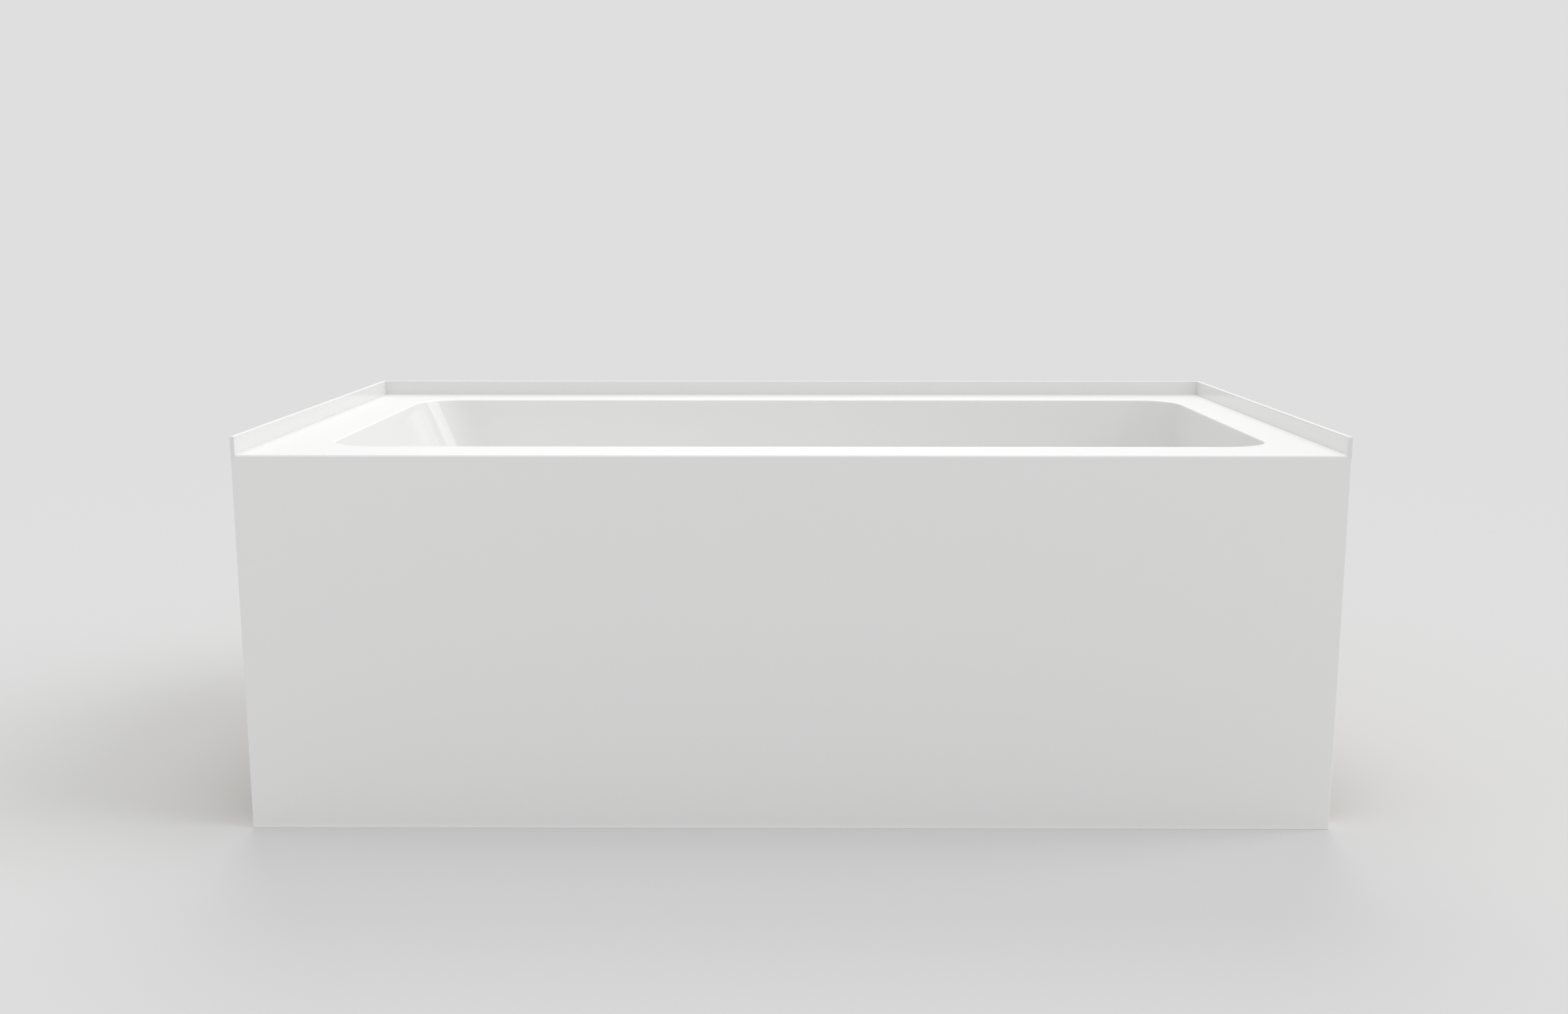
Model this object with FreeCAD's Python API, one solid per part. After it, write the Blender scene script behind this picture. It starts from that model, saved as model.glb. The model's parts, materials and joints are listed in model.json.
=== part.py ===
"""Alcove bathtub with a flat apron and a tile flange on three sides.

The bather faces the drain end, which is on the right. Millimetres. X runs along the tub,
Y from the apron to the back wall and Z up. The origin is on the floor, under the middle.
"""

import FreeCAD, Part
import math
import os
from FreeCAD import Vector

# ---- Outside of the tub ----
tub_length = 1524.0          # a 60 in alcove
tub_width = 813.0            # 32 in, apron face to wall
deck_height = 534.0          # floor to the top of the deck
flange_height = 25.0         # tile flange above the deck
flange_thickness = 6.0       # 1/4 in acrylic strip
flange_lap = 15.0            # how far the strip laps down behind the deck's edge
flange_edge_radius = 1.0
deck_edge_radius = 2.0       # deck to apron
panel_edge_radius = 1.5      # upright corners of the apron and the flange ends

# ---- Deck widths from the outside to the basin's rim ----
deck_front = 88.5
deck_back = 99.0
deck_left = 101.0
deck_right = 75.5

# ---- Basin, measured on the inside ----
basin_depth = 422.0          # deck to the floor at the drain
floor_fall = 0.006           # slope of the floor towards the drain
backrest_angle = 24.0        # from upright, left end
drain_end_angle = 6.5        # from upright, right end
side_angle = 6.0             # from upright, front and back
corner_radius = 70.0
floor_radius = 45.0
rim_radius = 3.5

# ---- Skins ----
shell_thickness = 4.0        # acrylic
backing_thickness = 3.0      # glass fibre and resin sprayed on the acrylic
bond_gap = 0.3               # resin line between curved skins
full_size_room = 112.0       # room under the basin that takes the frame and the pipes at full size

# ---- Apron ----
apron_thickness = 4.0
apron_return = 35.0          # folded back at both ends and along the floor
apron_board_thickness = 9.0
sill_width = 38.0            # timber along the floor behind the apron
sill_height = 38.0
post_width = 38.0
post_depth = 18.0
batten_width = 40.0          # timber under the deck's edges
batten_thickness = 18.0

# ---- Floor board and steel cradle ----
board_left = -430.0
board_drain_gap = 64.0       # board's right end to the drain's centre
board_front = -210.0
board_back = 200.0
board_thickness = 12.7        # where it is thinnest, by the drain
board_edge_radius = 12.0
rail_size = 25.0
rail_wall = 1.5
rail_inset_left = 40.0       # board's end to the left cross rail's middle
rail_inset_right = 16.0
cross_rail_back = 230.0
long_rail_y = 150.0          # both sides of the basin's middle
end_cap_thickness = 2.0
end_cap_plug = 10.0
tab_length = 25.0
tab_width = 30.0
tab_thickness = 3.0
tab_front_y = -120.0
tab_back_y = 100.0
cleat_leg = 30.0
cleat_thickness = 3.0

# ---- Levelling feet ----
foot_front_y = -195.0
foot_back_y = 195.0
stud_radius = 6.0
thread_clearance = 0.1       # radial, all screwed and sliding fits
stud_top_gap = 3.0           # stud's end below the rail's top face
foot_nut_flats = 19.0
weld_nut_height = 10.0
lock_nut_height = 6.0
wrench_collar_height = 6.0
pad_radius = 25.0
pad_disc_height = 6.0
pad_boss_radius = 13.0
pad_height = 14.0
pad_socket_floor = 5.0
pad_edge_radius = 2.0

# ---- Screws ----
screw_radius = 2.5
screw_head_radius = 4.5
screw_head_height = 3.0
screw_bite = 9.0             # length held in the timber
screw_point_clearance = 0.05
rail_screw_bite = 4.0

# ---- Drain ----
drain_from_end = 242.0       # drain's centre to the right outside
drain_hole_radius = 25.0
recess_radius = 38.0
recess_slope = 4.0           # how much wider the recess is at the floor
recess_depth = 3.0
drain_flange_radius = 35.0
drain_flange_thickness = 2.5
drain_body_radius = 23.5
drain_body_length = 34.0
drain_bore_radius = 19.0
drain_bar_width = 5.0
drain_bar_height = 5.0
drain_bar_drop = 28.0        # flange top to the top of the crossbars
drain_hub_radius = 8.0
gasket_thickness = 4.0
gasket_outer_radius = 33.0
gasket_inner_radius = 24.0

# ---- Push-down stopper ----
post_radius = 4.8
post_thread_radius = 4.0
post_top_gap = 6.0           # post's end to the cap when shut
barrel_radius = 9.0
barrel_stop_gap = 1.5        # barrel's end to the crossbars when shut
cap_radius = 26.0
cap_thickness = 5.0
cap_dome = 2.0
seal_radius = 24.0
seal_inner_radius = 9.3
seal_thickness = 2.5
spring_wire_radius = 0.4
spring_radius = 3.4
spring_turns = 5

# ---- Waste pipes ----
pipe_radius = 19.05          # 1 1/2 in tube
pipe_wall = 1.6
riser_from_end = 47.0        # riser's middle to the right outside
waste_drop = 56.0            # floor of the basin at the drain to the middle of the level pipe
fitting_radius = 23.0
fitting_bore_radius = 17.0
socket_clearance = 0.15
socket_depth = 16.0
tee_reach = 42.0             # tee's middle to the ends of its top and side ports
tee_drop = 30.0              # tee's middle to the end of its lower port
spigot_shoulder = 3.0
spigot_end = 3.0             # above the floor
shoe_radius = 32.0
shoe_floor = 6.0
shoe_sump = 4.0              # how far the cup goes below the port
shoe_chamber_radius = 20.0
shoe_reach = 50.0
shoe_thread_runout = 1.0     # thread below the end of the drain's body
nut_radius = 28.0
nut_length = 20.0
nut_cover = 12.0             # how far the nut runs over the port
nut_lip = 3.0
nut_rib_count = 12
nut_rib_radius = 1.8
washer_gap = 0.2

# ---- Overflow ----
overflow_drop = 85.0         # deck to the overflow's centre
overflow_hole_radius = 29.0
wedge_least = 3.0            # overflow gasket at its thin side
overflow_gasket_radius = 33.0
overflow_gasket_bore = 27.5
elbow_plate_thickness = 6.0
elbow_neck_radius = 20.0
elbow_neck_bore = 16.0
elbow_drop = 50.0
overflow_screw_spacing = 44.0
overflow_screw_length = 34.0
cover_radius = 38.0
cover_height = 11.0
cover_wall = 2.0
cover_edge_radius = 5.0
cover_slot_width = 36.0
cover_slot_height = 9.0

# ---- Worked out from the sizes above ----
left, right = -tub_length / 2, tub_length / 2
front, back = -tub_width / 2, tub_width / 2
up, down = Vector(0, 0, 1), Vector(0, 0, -1)
along = Vector(1, 0, 0)

rim_left, rim_right = left + deck_left, right - deck_right
rim_front, rim_back = front + deck_front, back - deck_back
basin_middle = (rim_front + rim_back) / 2

drain_x = right - drain_from_end
floor_at_drain = deck_height - basin_depth
drain_seat = floor_at_drain - recess_depth
drain_flange_top = drain_seat + drain_flange_thickness
skin_thickness = shell_thickness + backing_thickness

# what lies under the basin shrinks to fit where the room there is low
fit = min(1.0, floor_at_drain / full_size_room)
board_thickness *= fit
rail_size *= fit
sill_height *= fit
tab_thickness *= fit
screw_bite *= fit
stud_radius *= fit
foot_nut_flats *= fit
weld_nut_height *= fit
lock_nut_height *= fit
wrench_collar_height *= fit
pad_boss_radius *= fit
pad_disc_height *= fit
pad_height *= fit
pad_socket_floor *= fit
pad_edge_radius *= fit
drain_body_length *= fit
drain_bar_height *= fit
drain_bar_drop *= fit
waste_drop *= fit
pipe_radius *= fit
fitting_radius *= fit
fitting_bore_radius *= fit
tee_drop *= fit
shoe_floor *= fit
shoe_sump *= fit
shoe_thread_runout *= fit
nut_radius *= fit
nut_rib_radius *= fit
elbow_neck_radius *= fit
elbow_neck_bore *= fit

deck_underside = deck_height - shell_thickness
backing_underside = deck_underside - backing_thickness
batten_underside = backing_underside - batten_thickness
apron_back = front + apron_thickness
apron_board_back = apron_back + apron_board_thickness
post_back = apron_board_back + post_depth
inner_left, inner_right = left + flange_thickness, right - flange_thickness
inner_back = back - flange_thickness

board_right = drain_x - board_drain_gap
board_underside = floor_at_drain - skin_thickness - bond_gap - board_thickness
rail_top = board_underside
rail_bottom = rail_top - rail_size
half_rail = rail_size / 2
rail_x_left = board_left + rail_inset_left
rail_x_right = board_right - rail_inset_right
rail_x_middle = (rail_x_left + rail_x_right) / 2
cross_rail_x = [rail_x_left, rail_x_middle, rail_x_right]
weld_nut_bottom = rail_bottom - weld_nut_height
lock_nut_bottom = weld_nut_bottom - lock_nut_height
foot_places = [(x, y) for x in (rail_x_left, rail_x_right) for y in (foot_front_y, foot_back_y)]
socket_radius = pipe_radius + socket_clearance
riser_x = right - riser_from_end
waste_height = floor_at_drain - waste_drop
overflow_height = deck_height - overflow_drop

backrest = math.radians(backrest_angle)
drain_end = math.radians(drain_end_angle)
side = math.radians(side_angle)


# ---- Plain shapes ----
def block(x0, x1, y0, y1, z0, z1):
    return Part.makeBox(x1 - x0, y1 - y0, z1 - z0, Vector(x0, y0, z0))


def rod(radius, start, direction, length):
    return Part.makeCylinder(radius, length, start, direction)


def pipe(outer, inner, start, direction, length):
    return rod(outer, start, direction, length).cut(rod(inner, start, direction, length))


def hexagon(flats, bottom, height, x, y):
    points = []
    for corner in range(7):
        angle = math.radians(60 * corner)
        reach = flats / 2 / math.cos(math.radians(30))
        points.append(Vector(x + reach * math.cos(angle), y + reach * math.sin(angle), bottom))
    return Part.Face(Part.makePolygon(points)).extrude(up * height)


def revolved(points):
    """Turns an outline of (radius, height) points round the upright axis."""
    outline = [Vector(r, 0, z) for r, z in points]
    face = Part.Face(Part.makePolygon(outline + outline[:1]))
    return face.revolve(Vector(0, 0, 0), up, 360)


def box_tube(x0, x1, y0, y1, z0, z1, open_axis):
    """Square tube, open at both ends along X or Y."""
    wall_x = 0 if open_axis == "X" else rail_wall
    wall_y = 0 if open_axis == "Y" else rail_wall
    hollow = block(x0 + wall_x, x1 - wall_x, y0 + wall_y, y1 - wall_y, z0 + rail_wall, z1 - rail_wall)
    return block(x0, x1, y0, y1, z0, z1).cut(hollow)


def rounded(shape, radius, wanted):
    """Rounds the edges whose two ends and middle all pass the test."""
    edges = []
    for edge in shape.Edges:
        middle = edge.valueAt((edge.FirstParameter + edge.LastParameter) / 2)
        ends = [vertex.Point for vertex in edge.Vertexes]
        if all(wanted(point) for point in ends + [middle]):
            edges.append(edge)
    return shape.makeFillet(radius, edges)


def near(a, b):
    return abs(a - b) < 0.001


def screw(point, direction, bite, through):
    """Pan head screw. The head's underside is at point and the shank runs along direction."""
    shank = rod(screw_radius, point, direction, through + bite)
    head = rod(screw_head_radius, point - direction * screw_head_height, direction, screw_head_height)
    return shank.fuse(head)


def screw_hole(point, direction, depth):
    return rod(screw_radius + screw_point_clearance, point, direction, depth)


def save(name, *solids):
    shape = solids[0] if len(solids) == 1 else Part.makeCompound(list(solids))
    shape.exportStep("parts/" + name + ".step")
    print(f"{name}: {len(shape.Solids)} solid, valid {shape.isValid()}, {shape.Volume / 1000:.1f} cm3")


# ---- Basin form ----
def wall_planes(offset):
    """Point and outward normal of the basin's left, right, front and back walls and its floor."""
    planes = [
        (Vector(rim_left, 0, deck_height), Vector(-math.cos(backrest), 0, -math.sin(backrest))),
        (Vector(rim_right, 0, deck_height), Vector(math.cos(drain_end), 0, -math.sin(drain_end))),
        (Vector(0, rim_front, deck_height), Vector(0, -math.cos(side), -math.sin(side))),
        (Vector(0, rim_back, deck_height), Vector(0, math.cos(side), -math.sin(side))),
        (Vector(drain_x, 0, floor_at_drain), Vector(-floor_fall, 0, -1).normalize()),
    ]
    return [(point + normal * offset, normal) for point, normal in planes]


def beyond(point, normal):
    """Large block on the outer side of a plane."""
    slab = block(-tub_length, tub_length, -tub_length, tub_length, 0, tub_length)
    slab.Placement = FreeCAD.Placement(point, FreeCAD.Rotation(up, normal))
    return slab


def basin_form(offset, top):
    """Solid that fills the basin up to a level, grown by offset on every wall and the floor."""
    planes = wall_planes(offset)
    form = block(left, right, front, back, 0, top)
    for point, normal in planes:
        form = form.cut(beyond(point, normal))
    floor_point, floor_normal = planes[-1]

    def on_floor(point):
        return abs((point - floor_point).dot(floor_normal)) < 0.001

    upright = []
    for edge in form.Edges:
        ends = [vertex.Point for vertex in edge.Vertexes]
        if sum(on_floor(point) for point in ends) == 1:
            upright.append(edge)
    form = form.makeFillet(corner_radius + offset, upright)
    form = rounded(form, floor_radius + offset, on_floor)
    recess = Part.makeCone(
        recess_radius + offset,
        recess_radius + recess_slope + offset,
        recess_depth + offset,
        Vector(drain_x, basin_middle, drain_seat - offset),
    )
    return form.fuse(recess)


def overflow_frame():
    """Overflow's centre on the inside of the wall, and the wall's outward normal."""
    wall_x = rim_right - math.tan(drain_end) * overflow_drop
    return Vector(wall_x, basin_middle, overflow_height), Vector(math.cos(drain_end), 0, -math.sin(drain_end))


def waste_holes():
    """Tools for the drain and overflow holes through the skins."""
    centre, normal = overflow_frame()
    reach = 2 * skin_thickness
    drain = rod(drain_hole_radius, Vector(drain_x, basin_middle, drain_seat - reach), up, 2 * reach)
    return [drain, rod(overflow_hole_radius, centre - normal * reach, normal, 2 * reach)]


def tub_shell():
    """Acrylic deck and basin, formed from one sheet."""
    deck = block(inner_left, inner_right, front, inner_back, deck_underside, deck_height)
    body = deck.fuse(basin_form(shell_thickness, deck_height - shell_thickness / 2))
    body = body.cut(basin_form(0, deck_height + flange_height))
    for hole in waste_holes():
        body = body.cut(hole)
    body = rounded(body, deck_edge_radius, lambda p: near(p.z, deck_height) and near(p.y, front))

    def on_rim(p):
        inside = inner_left + 1 < p.x < inner_right - 1 and front + deck_edge_radius + 1 < p.y < inner_back - 1
        return near(p.z, deck_height) and inside

    return rounded(body, rim_radius, on_rim)


def fibreglass_backing():
    """Glass fibre skin under the deck and round the outside of the basin."""
    layer = block(inner_left, inner_right, apron_back, inner_back, backing_underside, deck_underside)
    body = layer.fuse(basin_form(skin_thickness, deck_underside - backing_thickness / 2))
    body = body.cut(basin_form(shell_thickness + bond_gap, deck_height))
    for hole in waste_holes():
        body = body.cut(hole)
    return body


# ---- Tile flange ----
def side_flange(outside, inside):
    x0, x1 = min(outside, inside), max(outside, inside)
    strip = block(x0, x1, front, inner_back, deck_underside, deck_height + flange_height)
    strip = rounded(strip, flange_edge_radius, lambda p: near(p.z, deck_height + flange_height) and p.x in (x0, x1))
    strip = rounded(
        strip, panel_edge_radius, lambda p: near(p.x, outside) and near(p.y, front) and p.z < deck_height + flange_height
    )
    lap = block(x0, x1, apron_back, inner_back, deck_underside - flange_lap, deck_underside)
    return strip.fuse(lap).removeSplitter()


def back_flange():
    strip = block(left, right, inner_back, back, deck_underside - flange_lap, deck_height + flange_height)
    return rounded(strip, flange_edge_radius, lambda p: near(p.z, deck_height + flange_height) and p.y > inner_back - 1)


# ---- Apron ----
def apron_panel():
    """Flat acrylic apron, folded back at both ends and along the floor."""
    outer = block(left, right, front, front + apron_return, 0, deck_underside)
    for x in (left, right):
        outer = rounded(outer, panel_edge_radius, lambda p: near(p.x, x) and near(p.y, front))
    hollow = block(
        left + apron_thickness, right - apron_thickness, apron_back, front + 2 * apron_return,
        apron_thickness, deck_underside + 1,
    )
    notch = block(left, right, apron_back, front + 2 * apron_return, deck_underside - flange_lap, deck_underside)
    return outer.cut(hollow).cut(notch)


def apron_board():
    return block(
        inner_left, inner_right, apron_back, apron_board_back, apron_thickness, backing_underside
    )


def apron_posts():
    """Upright timbers behind the apron, one at each cross rail and one at each end."""
    end = apron_thickness + post_width / 2
    posts = []
    for x in [left + end, *cross_rail_x, right - end]:
        post = block(
            x - post_width / 2, x + post_width / 2, apron_board_back, post_back,
            apron_thickness + sill_height, batten_underside,
        )
        if x in cross_rail_x:
            post = post.cut(screw_hole(cleat_post_screw(x), Vector(0, -1, 0), cleat_thickness + screw_bite))
        posts.append(post)
    return posts


def rim_battens():
    """Timbers under the deck's four edges, by node name."""
    front_face, back_face = apron_board_back + batten_width, inner_back - batten_width
    z0, z1 = batten_underside, backing_underside
    return {
        "rim_batten_front": block(inner_left, inner_right, apron_board_back, front_face, z0, z1),
        "rim_batten_back": block(inner_left, inner_right, back_face, inner_back, z0, z1),
        "rim_batten_left": block(inner_left, inner_left + batten_width, front_face, back_face, z0, z1),
        "rim_batten_right": block(inner_right - batten_width, inner_right, front_face, back_face, z0, z1),
    }


# ---- Floor board and steel cradle ----
def tab_places():
    """Middle of each fixing tab, and which way it points from its rail."""
    for x in cross_rail_x:
        side_of_rail = -1 if x == rail_x_right else 1
        for y in (tab_front_y, tab_back_y):
            yield x + side_of_rail * (half_rail + tab_length / 2), y


def floor_board():
    """Plywood board bonded under the basin's floor. Its top follows the floor's fall."""
    board = block(board_left, board_right, board_front, board_back, board_underside, floor_at_drain + floor_radius)
    board = rounded(
        board, board_edge_radius,
        lambda p: (near(p.x, board_left) or near(p.x, board_right)) and (near(p.y, board_front) or near(p.y, board_back)),
    )
    board = board.cut(basin_form(skin_thickness + bond_gap, deck_height))
    for x, y in tab_places():
        board = board.cut(screw_hole(Vector(x, y, board_underside), up, screw_bite))
    return max(board.Solids, key=lambda solid: solid.Volume)


def cross_rail(x):
    rail = box_tube(x - half_rail, x + half_rail, post_back, cross_rail_back, rail_bottom, rail_top, "Y")
    for foot_x, foot_y in foot_places:
        if foot_x == x:
            rail = rail.cut(rod(stud_radius + 2 * thread_clearance, Vector(x, foot_y, rail_bottom), up, rail_wall))
    return rail.cut(screw_hole(cleat_rail_screw(x), down, cleat_thickness + rail_wall))


def long_rails(y):
    """Two lengths of tube between the three cross rails."""
    lengths = []
    for x0, x1 in zip(cross_rail_x, cross_rail_x[1:]):
        tube = box_tube(x0 + half_rail, x1 - half_rail, y - half_rail, y + half_rail, rail_bottom, rail_top, "X")
        lengths.append(tube)
    return lengths


def rail_end_caps():
    caps = []
    plug = half_rail - rail_wall - thread_clearance
    for x in cross_rail_x:
        plate = block(
            x - half_rail, x + half_rail, cross_rail_back, cross_rail_back + end_cap_thickness, rail_bottom, rail_top
        )
        middle = (rail_bottom + rail_top) / 2
        inner = block(
            x - plug, x + plug, cross_rail_back - end_cap_plug, cross_rail_back, middle - plug, middle + plug
        )
        caps.append(plate.fuse(inner))
    return caps


def board_tabs():
    tabs = []
    for x, y in tab_places():
        tab = block(
            x - tab_length / 2, x + tab_length / 2, y - tab_width / 2, y + tab_width / 2,
            board_underside - tab_thickness, board_underside,
        )
        tabs.append(tab.cut(screw_hole(Vector(x, y, board_underside - tab_thickness), up, tab_thickness)))
    return tabs


def board_screws():
    bite = screw_bite - 1
    return [screw(Vector(x, y, board_underside - tab_thickness), up, bite, tab_thickness) for x, y in tab_places()]


def cleat_post_screw(x):
    return Vector(x, post_back + cleat_thickness, rail_top + 0.65 * cleat_leg)


def cleat_rail_screw(x):
    return Vector(x, post_back + 0.65 * cleat_leg, rail_top + cleat_thickness)


def apron_cleats():
    """Steel angles that tie each cross rail to the post in front of it."""
    cleats = []
    for x in cross_rail_x:
        x0, x1 = x - half_rail, x + half_rail
        flat = block(x0, x1, post_back, post_back + cleat_leg, rail_top, rail_top + cleat_thickness)
        upright = block(x0, x1, post_back, post_back + cleat_thickness, rail_top, rail_top + cleat_leg)
        cleat = flat.fuse(upright).removeSplitter()
        cleat = cleat.cut(screw_hole(cleat_post_screw(x), Vector(0, -1, 0), cleat_thickness))
        cleats.append(cleat.cut(screw_hole(cleat_rail_screw(x), down, cleat_thickness)))
    return cleats


def cleat_screws():
    screws = []
    for x in cross_rail_x:
        screws.append(screw(cleat_post_screw(x), Vector(0, -1, 0), screw_bite - 1, cleat_thickness))
        screws.append(screw(cleat_rail_screw(x), down, rail_screw_bite, cleat_thickness))
    return screws


# ---- Levelling feet ----
def foot_nuts(bottom, height):
    nuts = []
    for x, y in foot_places:
        bore = rod(stud_radius + thread_clearance, Vector(x, y, bottom), up, height)
        nuts.append(hexagon(foot_nut_flats, bottom, height, x, y).cut(bore))
    return nuts


def foot_stud(x, y):
    """Threaded stud with a fixed hexagon that a wrench turns."""
    thread = rod(stud_radius, Vector(x, y, pad_height), up, rail_top - stud_top_gap - pad_height)
    journal_start = pad_socket_floor + thread_clearance
    journal = rod(stud_radius - thread_clearance, Vector(x, y, journal_start), up, pad_height - journal_start)
    return thread.fuse([journal, hexagon(foot_nut_flats, pad_height, wrench_collar_height, x, y)]).removeSplitter()


def foot_pad(x, y):
    disc = rod(pad_radius, Vector(x, y, 0), up, pad_disc_height)
    disc = rounded(disc, pad_edge_radius, lambda p: near(p.z, pad_disc_height))
    boss = rod(pad_boss_radius, Vector(x, y, pad_disc_height), up, pad_height - pad_disc_height)
    socket = rod(stud_radius, Vector(x, y, pad_socket_floor), up, pad_height)
    return disc.fuse(boss).cut(socket)


# ---- Drain ----
def drain_flange():
    """Chromed flange with its threaded body and the crossbars that hold the stopper."""
    top, seat = drain_flange_top, drain_seat
    lip = drain_flange_thickness / 2
    body = revolved([
        (drain_bore_radius, seat - drain_body_length), (drain_body_radius, seat - drain_body_length),
        (drain_body_radius, seat), (drain_flange_radius, seat), (drain_flange_radius, seat + lip / 2),
        (drain_flange_radius - lip, top), (drain_bore_radius + lip, top), (drain_bore_radius, top - lip),
    ])
    body.translate(Vector(drain_x, basin_middle, 0))
    bar_top = top - drain_bar_drop
    bar_bottom = bar_top - drain_bar_height
    half = drain_bar_width / 2
    reach = drain_bore_radius + 1
    bars = [
        block(drain_x - reach, drain_x + reach, basin_middle - half, basin_middle + half, bar_bottom, bar_top),
        block(drain_x - half, drain_x + half, basin_middle - reach, basin_middle + reach, bar_bottom, bar_top),
        rod(drain_hub_radius, Vector(drain_x, basin_middle, bar_bottom), up, drain_bar_height),
    ]
    hole = rod(post_thread_radius + thread_clearance, Vector(drain_x, basin_middle, bar_bottom), up, drain_bar_height)
    return body.fuse(bars).removeSplitter().cut(hole)


def drain_gasket():
    bottom = drain_seat - skin_thickness - gasket_thickness
    return pipe(gasket_outer_radius, gasket_inner_radius, Vector(drain_x, basin_middle, bottom), up, gasket_thickness)


def port(point, direction, length):
    """Outside of a pipe fitting's port, from the fitting's middle outwards."""
    return rod(fitting_radius, point, direction, length)


def port_bore(point, direction, length):
    """Waterway of a port, widened into a socket for the pipe at its end."""
    socket = rod(socket_radius, point + direction * (length - socket_depth), direction, socket_depth)
    return rod(fitting_bore_radius, point, direction, length).fuse(socket)


def drain_shoe():
    """Elbow under the drain. The drain's threaded body screws into its cup."""
    centre = Vector(drain_x, basin_middle, 0)
    middle = centre + up * waste_height
    top = drain_seat - skin_thickness - gasket_thickness
    bottom = waste_height - fitting_radius - shoe_sump
    thread_bottom = drain_seat - drain_body_length - shoe_thread_runout
    body = rod(shoe_radius, centre + up * bottom, up, top - bottom).fuse(port(middle, along, shoe_reach))
    body = body.cut(rod(drain_body_radius + thread_clearance, centre + up * thread_bottom, up, top - thread_bottom))
    body = body.cut(rod(shoe_chamber_radius, centre + up * (bottom + shoe_floor), up, top - bottom))
    return body.cut(port_bore(middle, along, shoe_reach))


# ---- Stopper, shut ----
def stopper_post():
    """Fixed post, screwed into the crossbars, that the barrel slides on."""
    bar_top = drain_flange_top - drain_bar_drop
    bar_bottom = bar_top - drain_bar_height
    thread = rod(post_thread_radius, Vector(drain_x, basin_middle, bar_bottom), up, drain_bar_height)
    top = drain_flange_top + seal_thickness - post_top_gap
    return thread.fuse(rod(post_radius, Vector(drain_x, basin_middle, bar_top), up, top - bar_top)).removeSplitter()


def stopper_barrel():
    bar_top = drain_flange_top - drain_bar_drop
    bottom = bar_top + barrel_stop_gap
    top = drain_flange_top + seal_thickness
    centre = Vector(drain_x, basin_middle, bottom)
    return pipe(barrel_radius, post_radius + thread_clearance, centre, up, top - bottom)


def stopper_seal():
    centre = Vector(drain_x, basin_middle, drain_flange_top)
    return pipe(seal_radius, seal_inner_radius, centre, up, seal_thickness)


def stopper_cap():
    """Low domed cap that a toe presses."""
    bottom = drain_flange_top + seal_thickness
    edge = cap_thickness - cap_dome
    crown_radius = (cap_radius ** 2 + cap_dome ** 2) / (2 * cap_dome)
    ball = Part.makeSphere(crown_radius, Vector(drain_x, basin_middle, bottom + cap_thickness - crown_radius))
    disc = rod(cap_radius, Vector(drain_x, basin_middle, bottom), up, cap_thickness).common(ball)
    return rounded(disc, edge / 3, lambda p: near(p.z, bottom + edge))


def stopper_spring():
    """Coil inside the barrel, between the post and the cap."""
    top = drain_flange_top + seal_thickness
    gap = thread_clearance
    bottom = top - post_top_gap
    height = post_top_gap - 2 * (spring_wire_radius + gap)
    helix = Part.makeHelix(height / spring_turns, height, spring_radius)
    start = Vector(spring_radius, 0, 0)
    section = Part.Wire(Part.makeCircle(spring_wire_radius, start, Vector(0, 1, 0)))
    coil = Part.Wire(helix).makePipeShell([section], True, True)
    coil.translate(Vector(drain_x, basin_middle, bottom + spring_wire_radius + gap))
    return coil


# ---- Waste pipes ----
def slip_nut(end, direction):
    """Ribbed nut over a port whose mouth is at end. The pipe leaves along direction."""
    start = end - direction * nut_cover
    nut = rod(nut_radius - nut_rib_radius, start, direction, nut_length)
    across = direction.cross(Vector(0, 1, 0)) if abs(direction.y) < 0.5 else along
    for number in range(nut_rib_count):
        angle = math.radians(360 / nut_rib_count * number)
        spoke = across * math.cos(angle) + direction.cross(across) * math.sin(angle)
        nut = nut.fuse(rod(nut_rib_radius, start + spoke * (nut_radius - nut_rib_radius), direction, nut_length))
    thread = rod(fitting_radius + thread_clearance, start, direction, nut_length - nut_lip)
    return nut.cut(thread).cut(rod(socket_radius, start, direction, nut_length))


def slip_washer(end, direction):
    """Rubber ring squeezed between the port's mouth and the nut's lip."""
    length = nut_length - nut_cover - nut_lip
    start = end + direction * washer_gap / 2
    return pipe(fitting_radius - washer_gap, socket_radius, start, direction, length - washer_gap)


tee_middle = Vector(riser_x, basin_middle, waste_height)
tee_side_mouth = tee_middle - along * tee_reach
tee_top_mouth = tee_middle + up * tee_reach
tee_low_mouth = tee_middle + down * tee_drop
elbow_middle = Vector(riser_x, basin_middle, overflow_height)
elbow_mouth = elbow_middle + down * elbow_drop
shoe_mouth = Vector(drain_x + shoe_reach, basin_middle, waste_height)


def waste_tee():
    ports = [(up, tee_reach), (down, tee_drop), (-along, tee_reach)]
    body = port(tee_middle, up, tee_reach)
    for direction, length in ports[1:]:
        body = body.fuse(port(tee_middle, direction, length))
    body = body.fuse(Part.makeSphere(fitting_radius, tee_middle))
    for direction, length in ports:
        body = body.cut(port_bore(tee_middle, direction, length))
    return body


def pipe_between(mouth_a, mouth_b):
    """Plain pipe from one socket's bottom to another's."""
    direction = (mouth_b - mouth_a).normalize()
    seat = socket_depth - 1
    start, finish = mouth_a - direction * seat, mouth_b + direction * seat
    return pipe(pipe_radius, pipe_radius - pipe_wall, start, direction, (finish - start).Length)


def waste_spigot():
    """Short pipe glued into the tee's lower port, with a shoulder against the port's mouth."""
    start = tee_low_mouth + up * (socket_depth - 1)
    outside = rod(pipe_radius, start, down, start.z - spigot_end)
    outside = outside.fuse(rod(fitting_radius, tee_low_mouth, down, spigot_shoulder))
    return outside.cut(rod(pipe_radius - pipe_wall, start, down, start.z - spigot_end))


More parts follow.
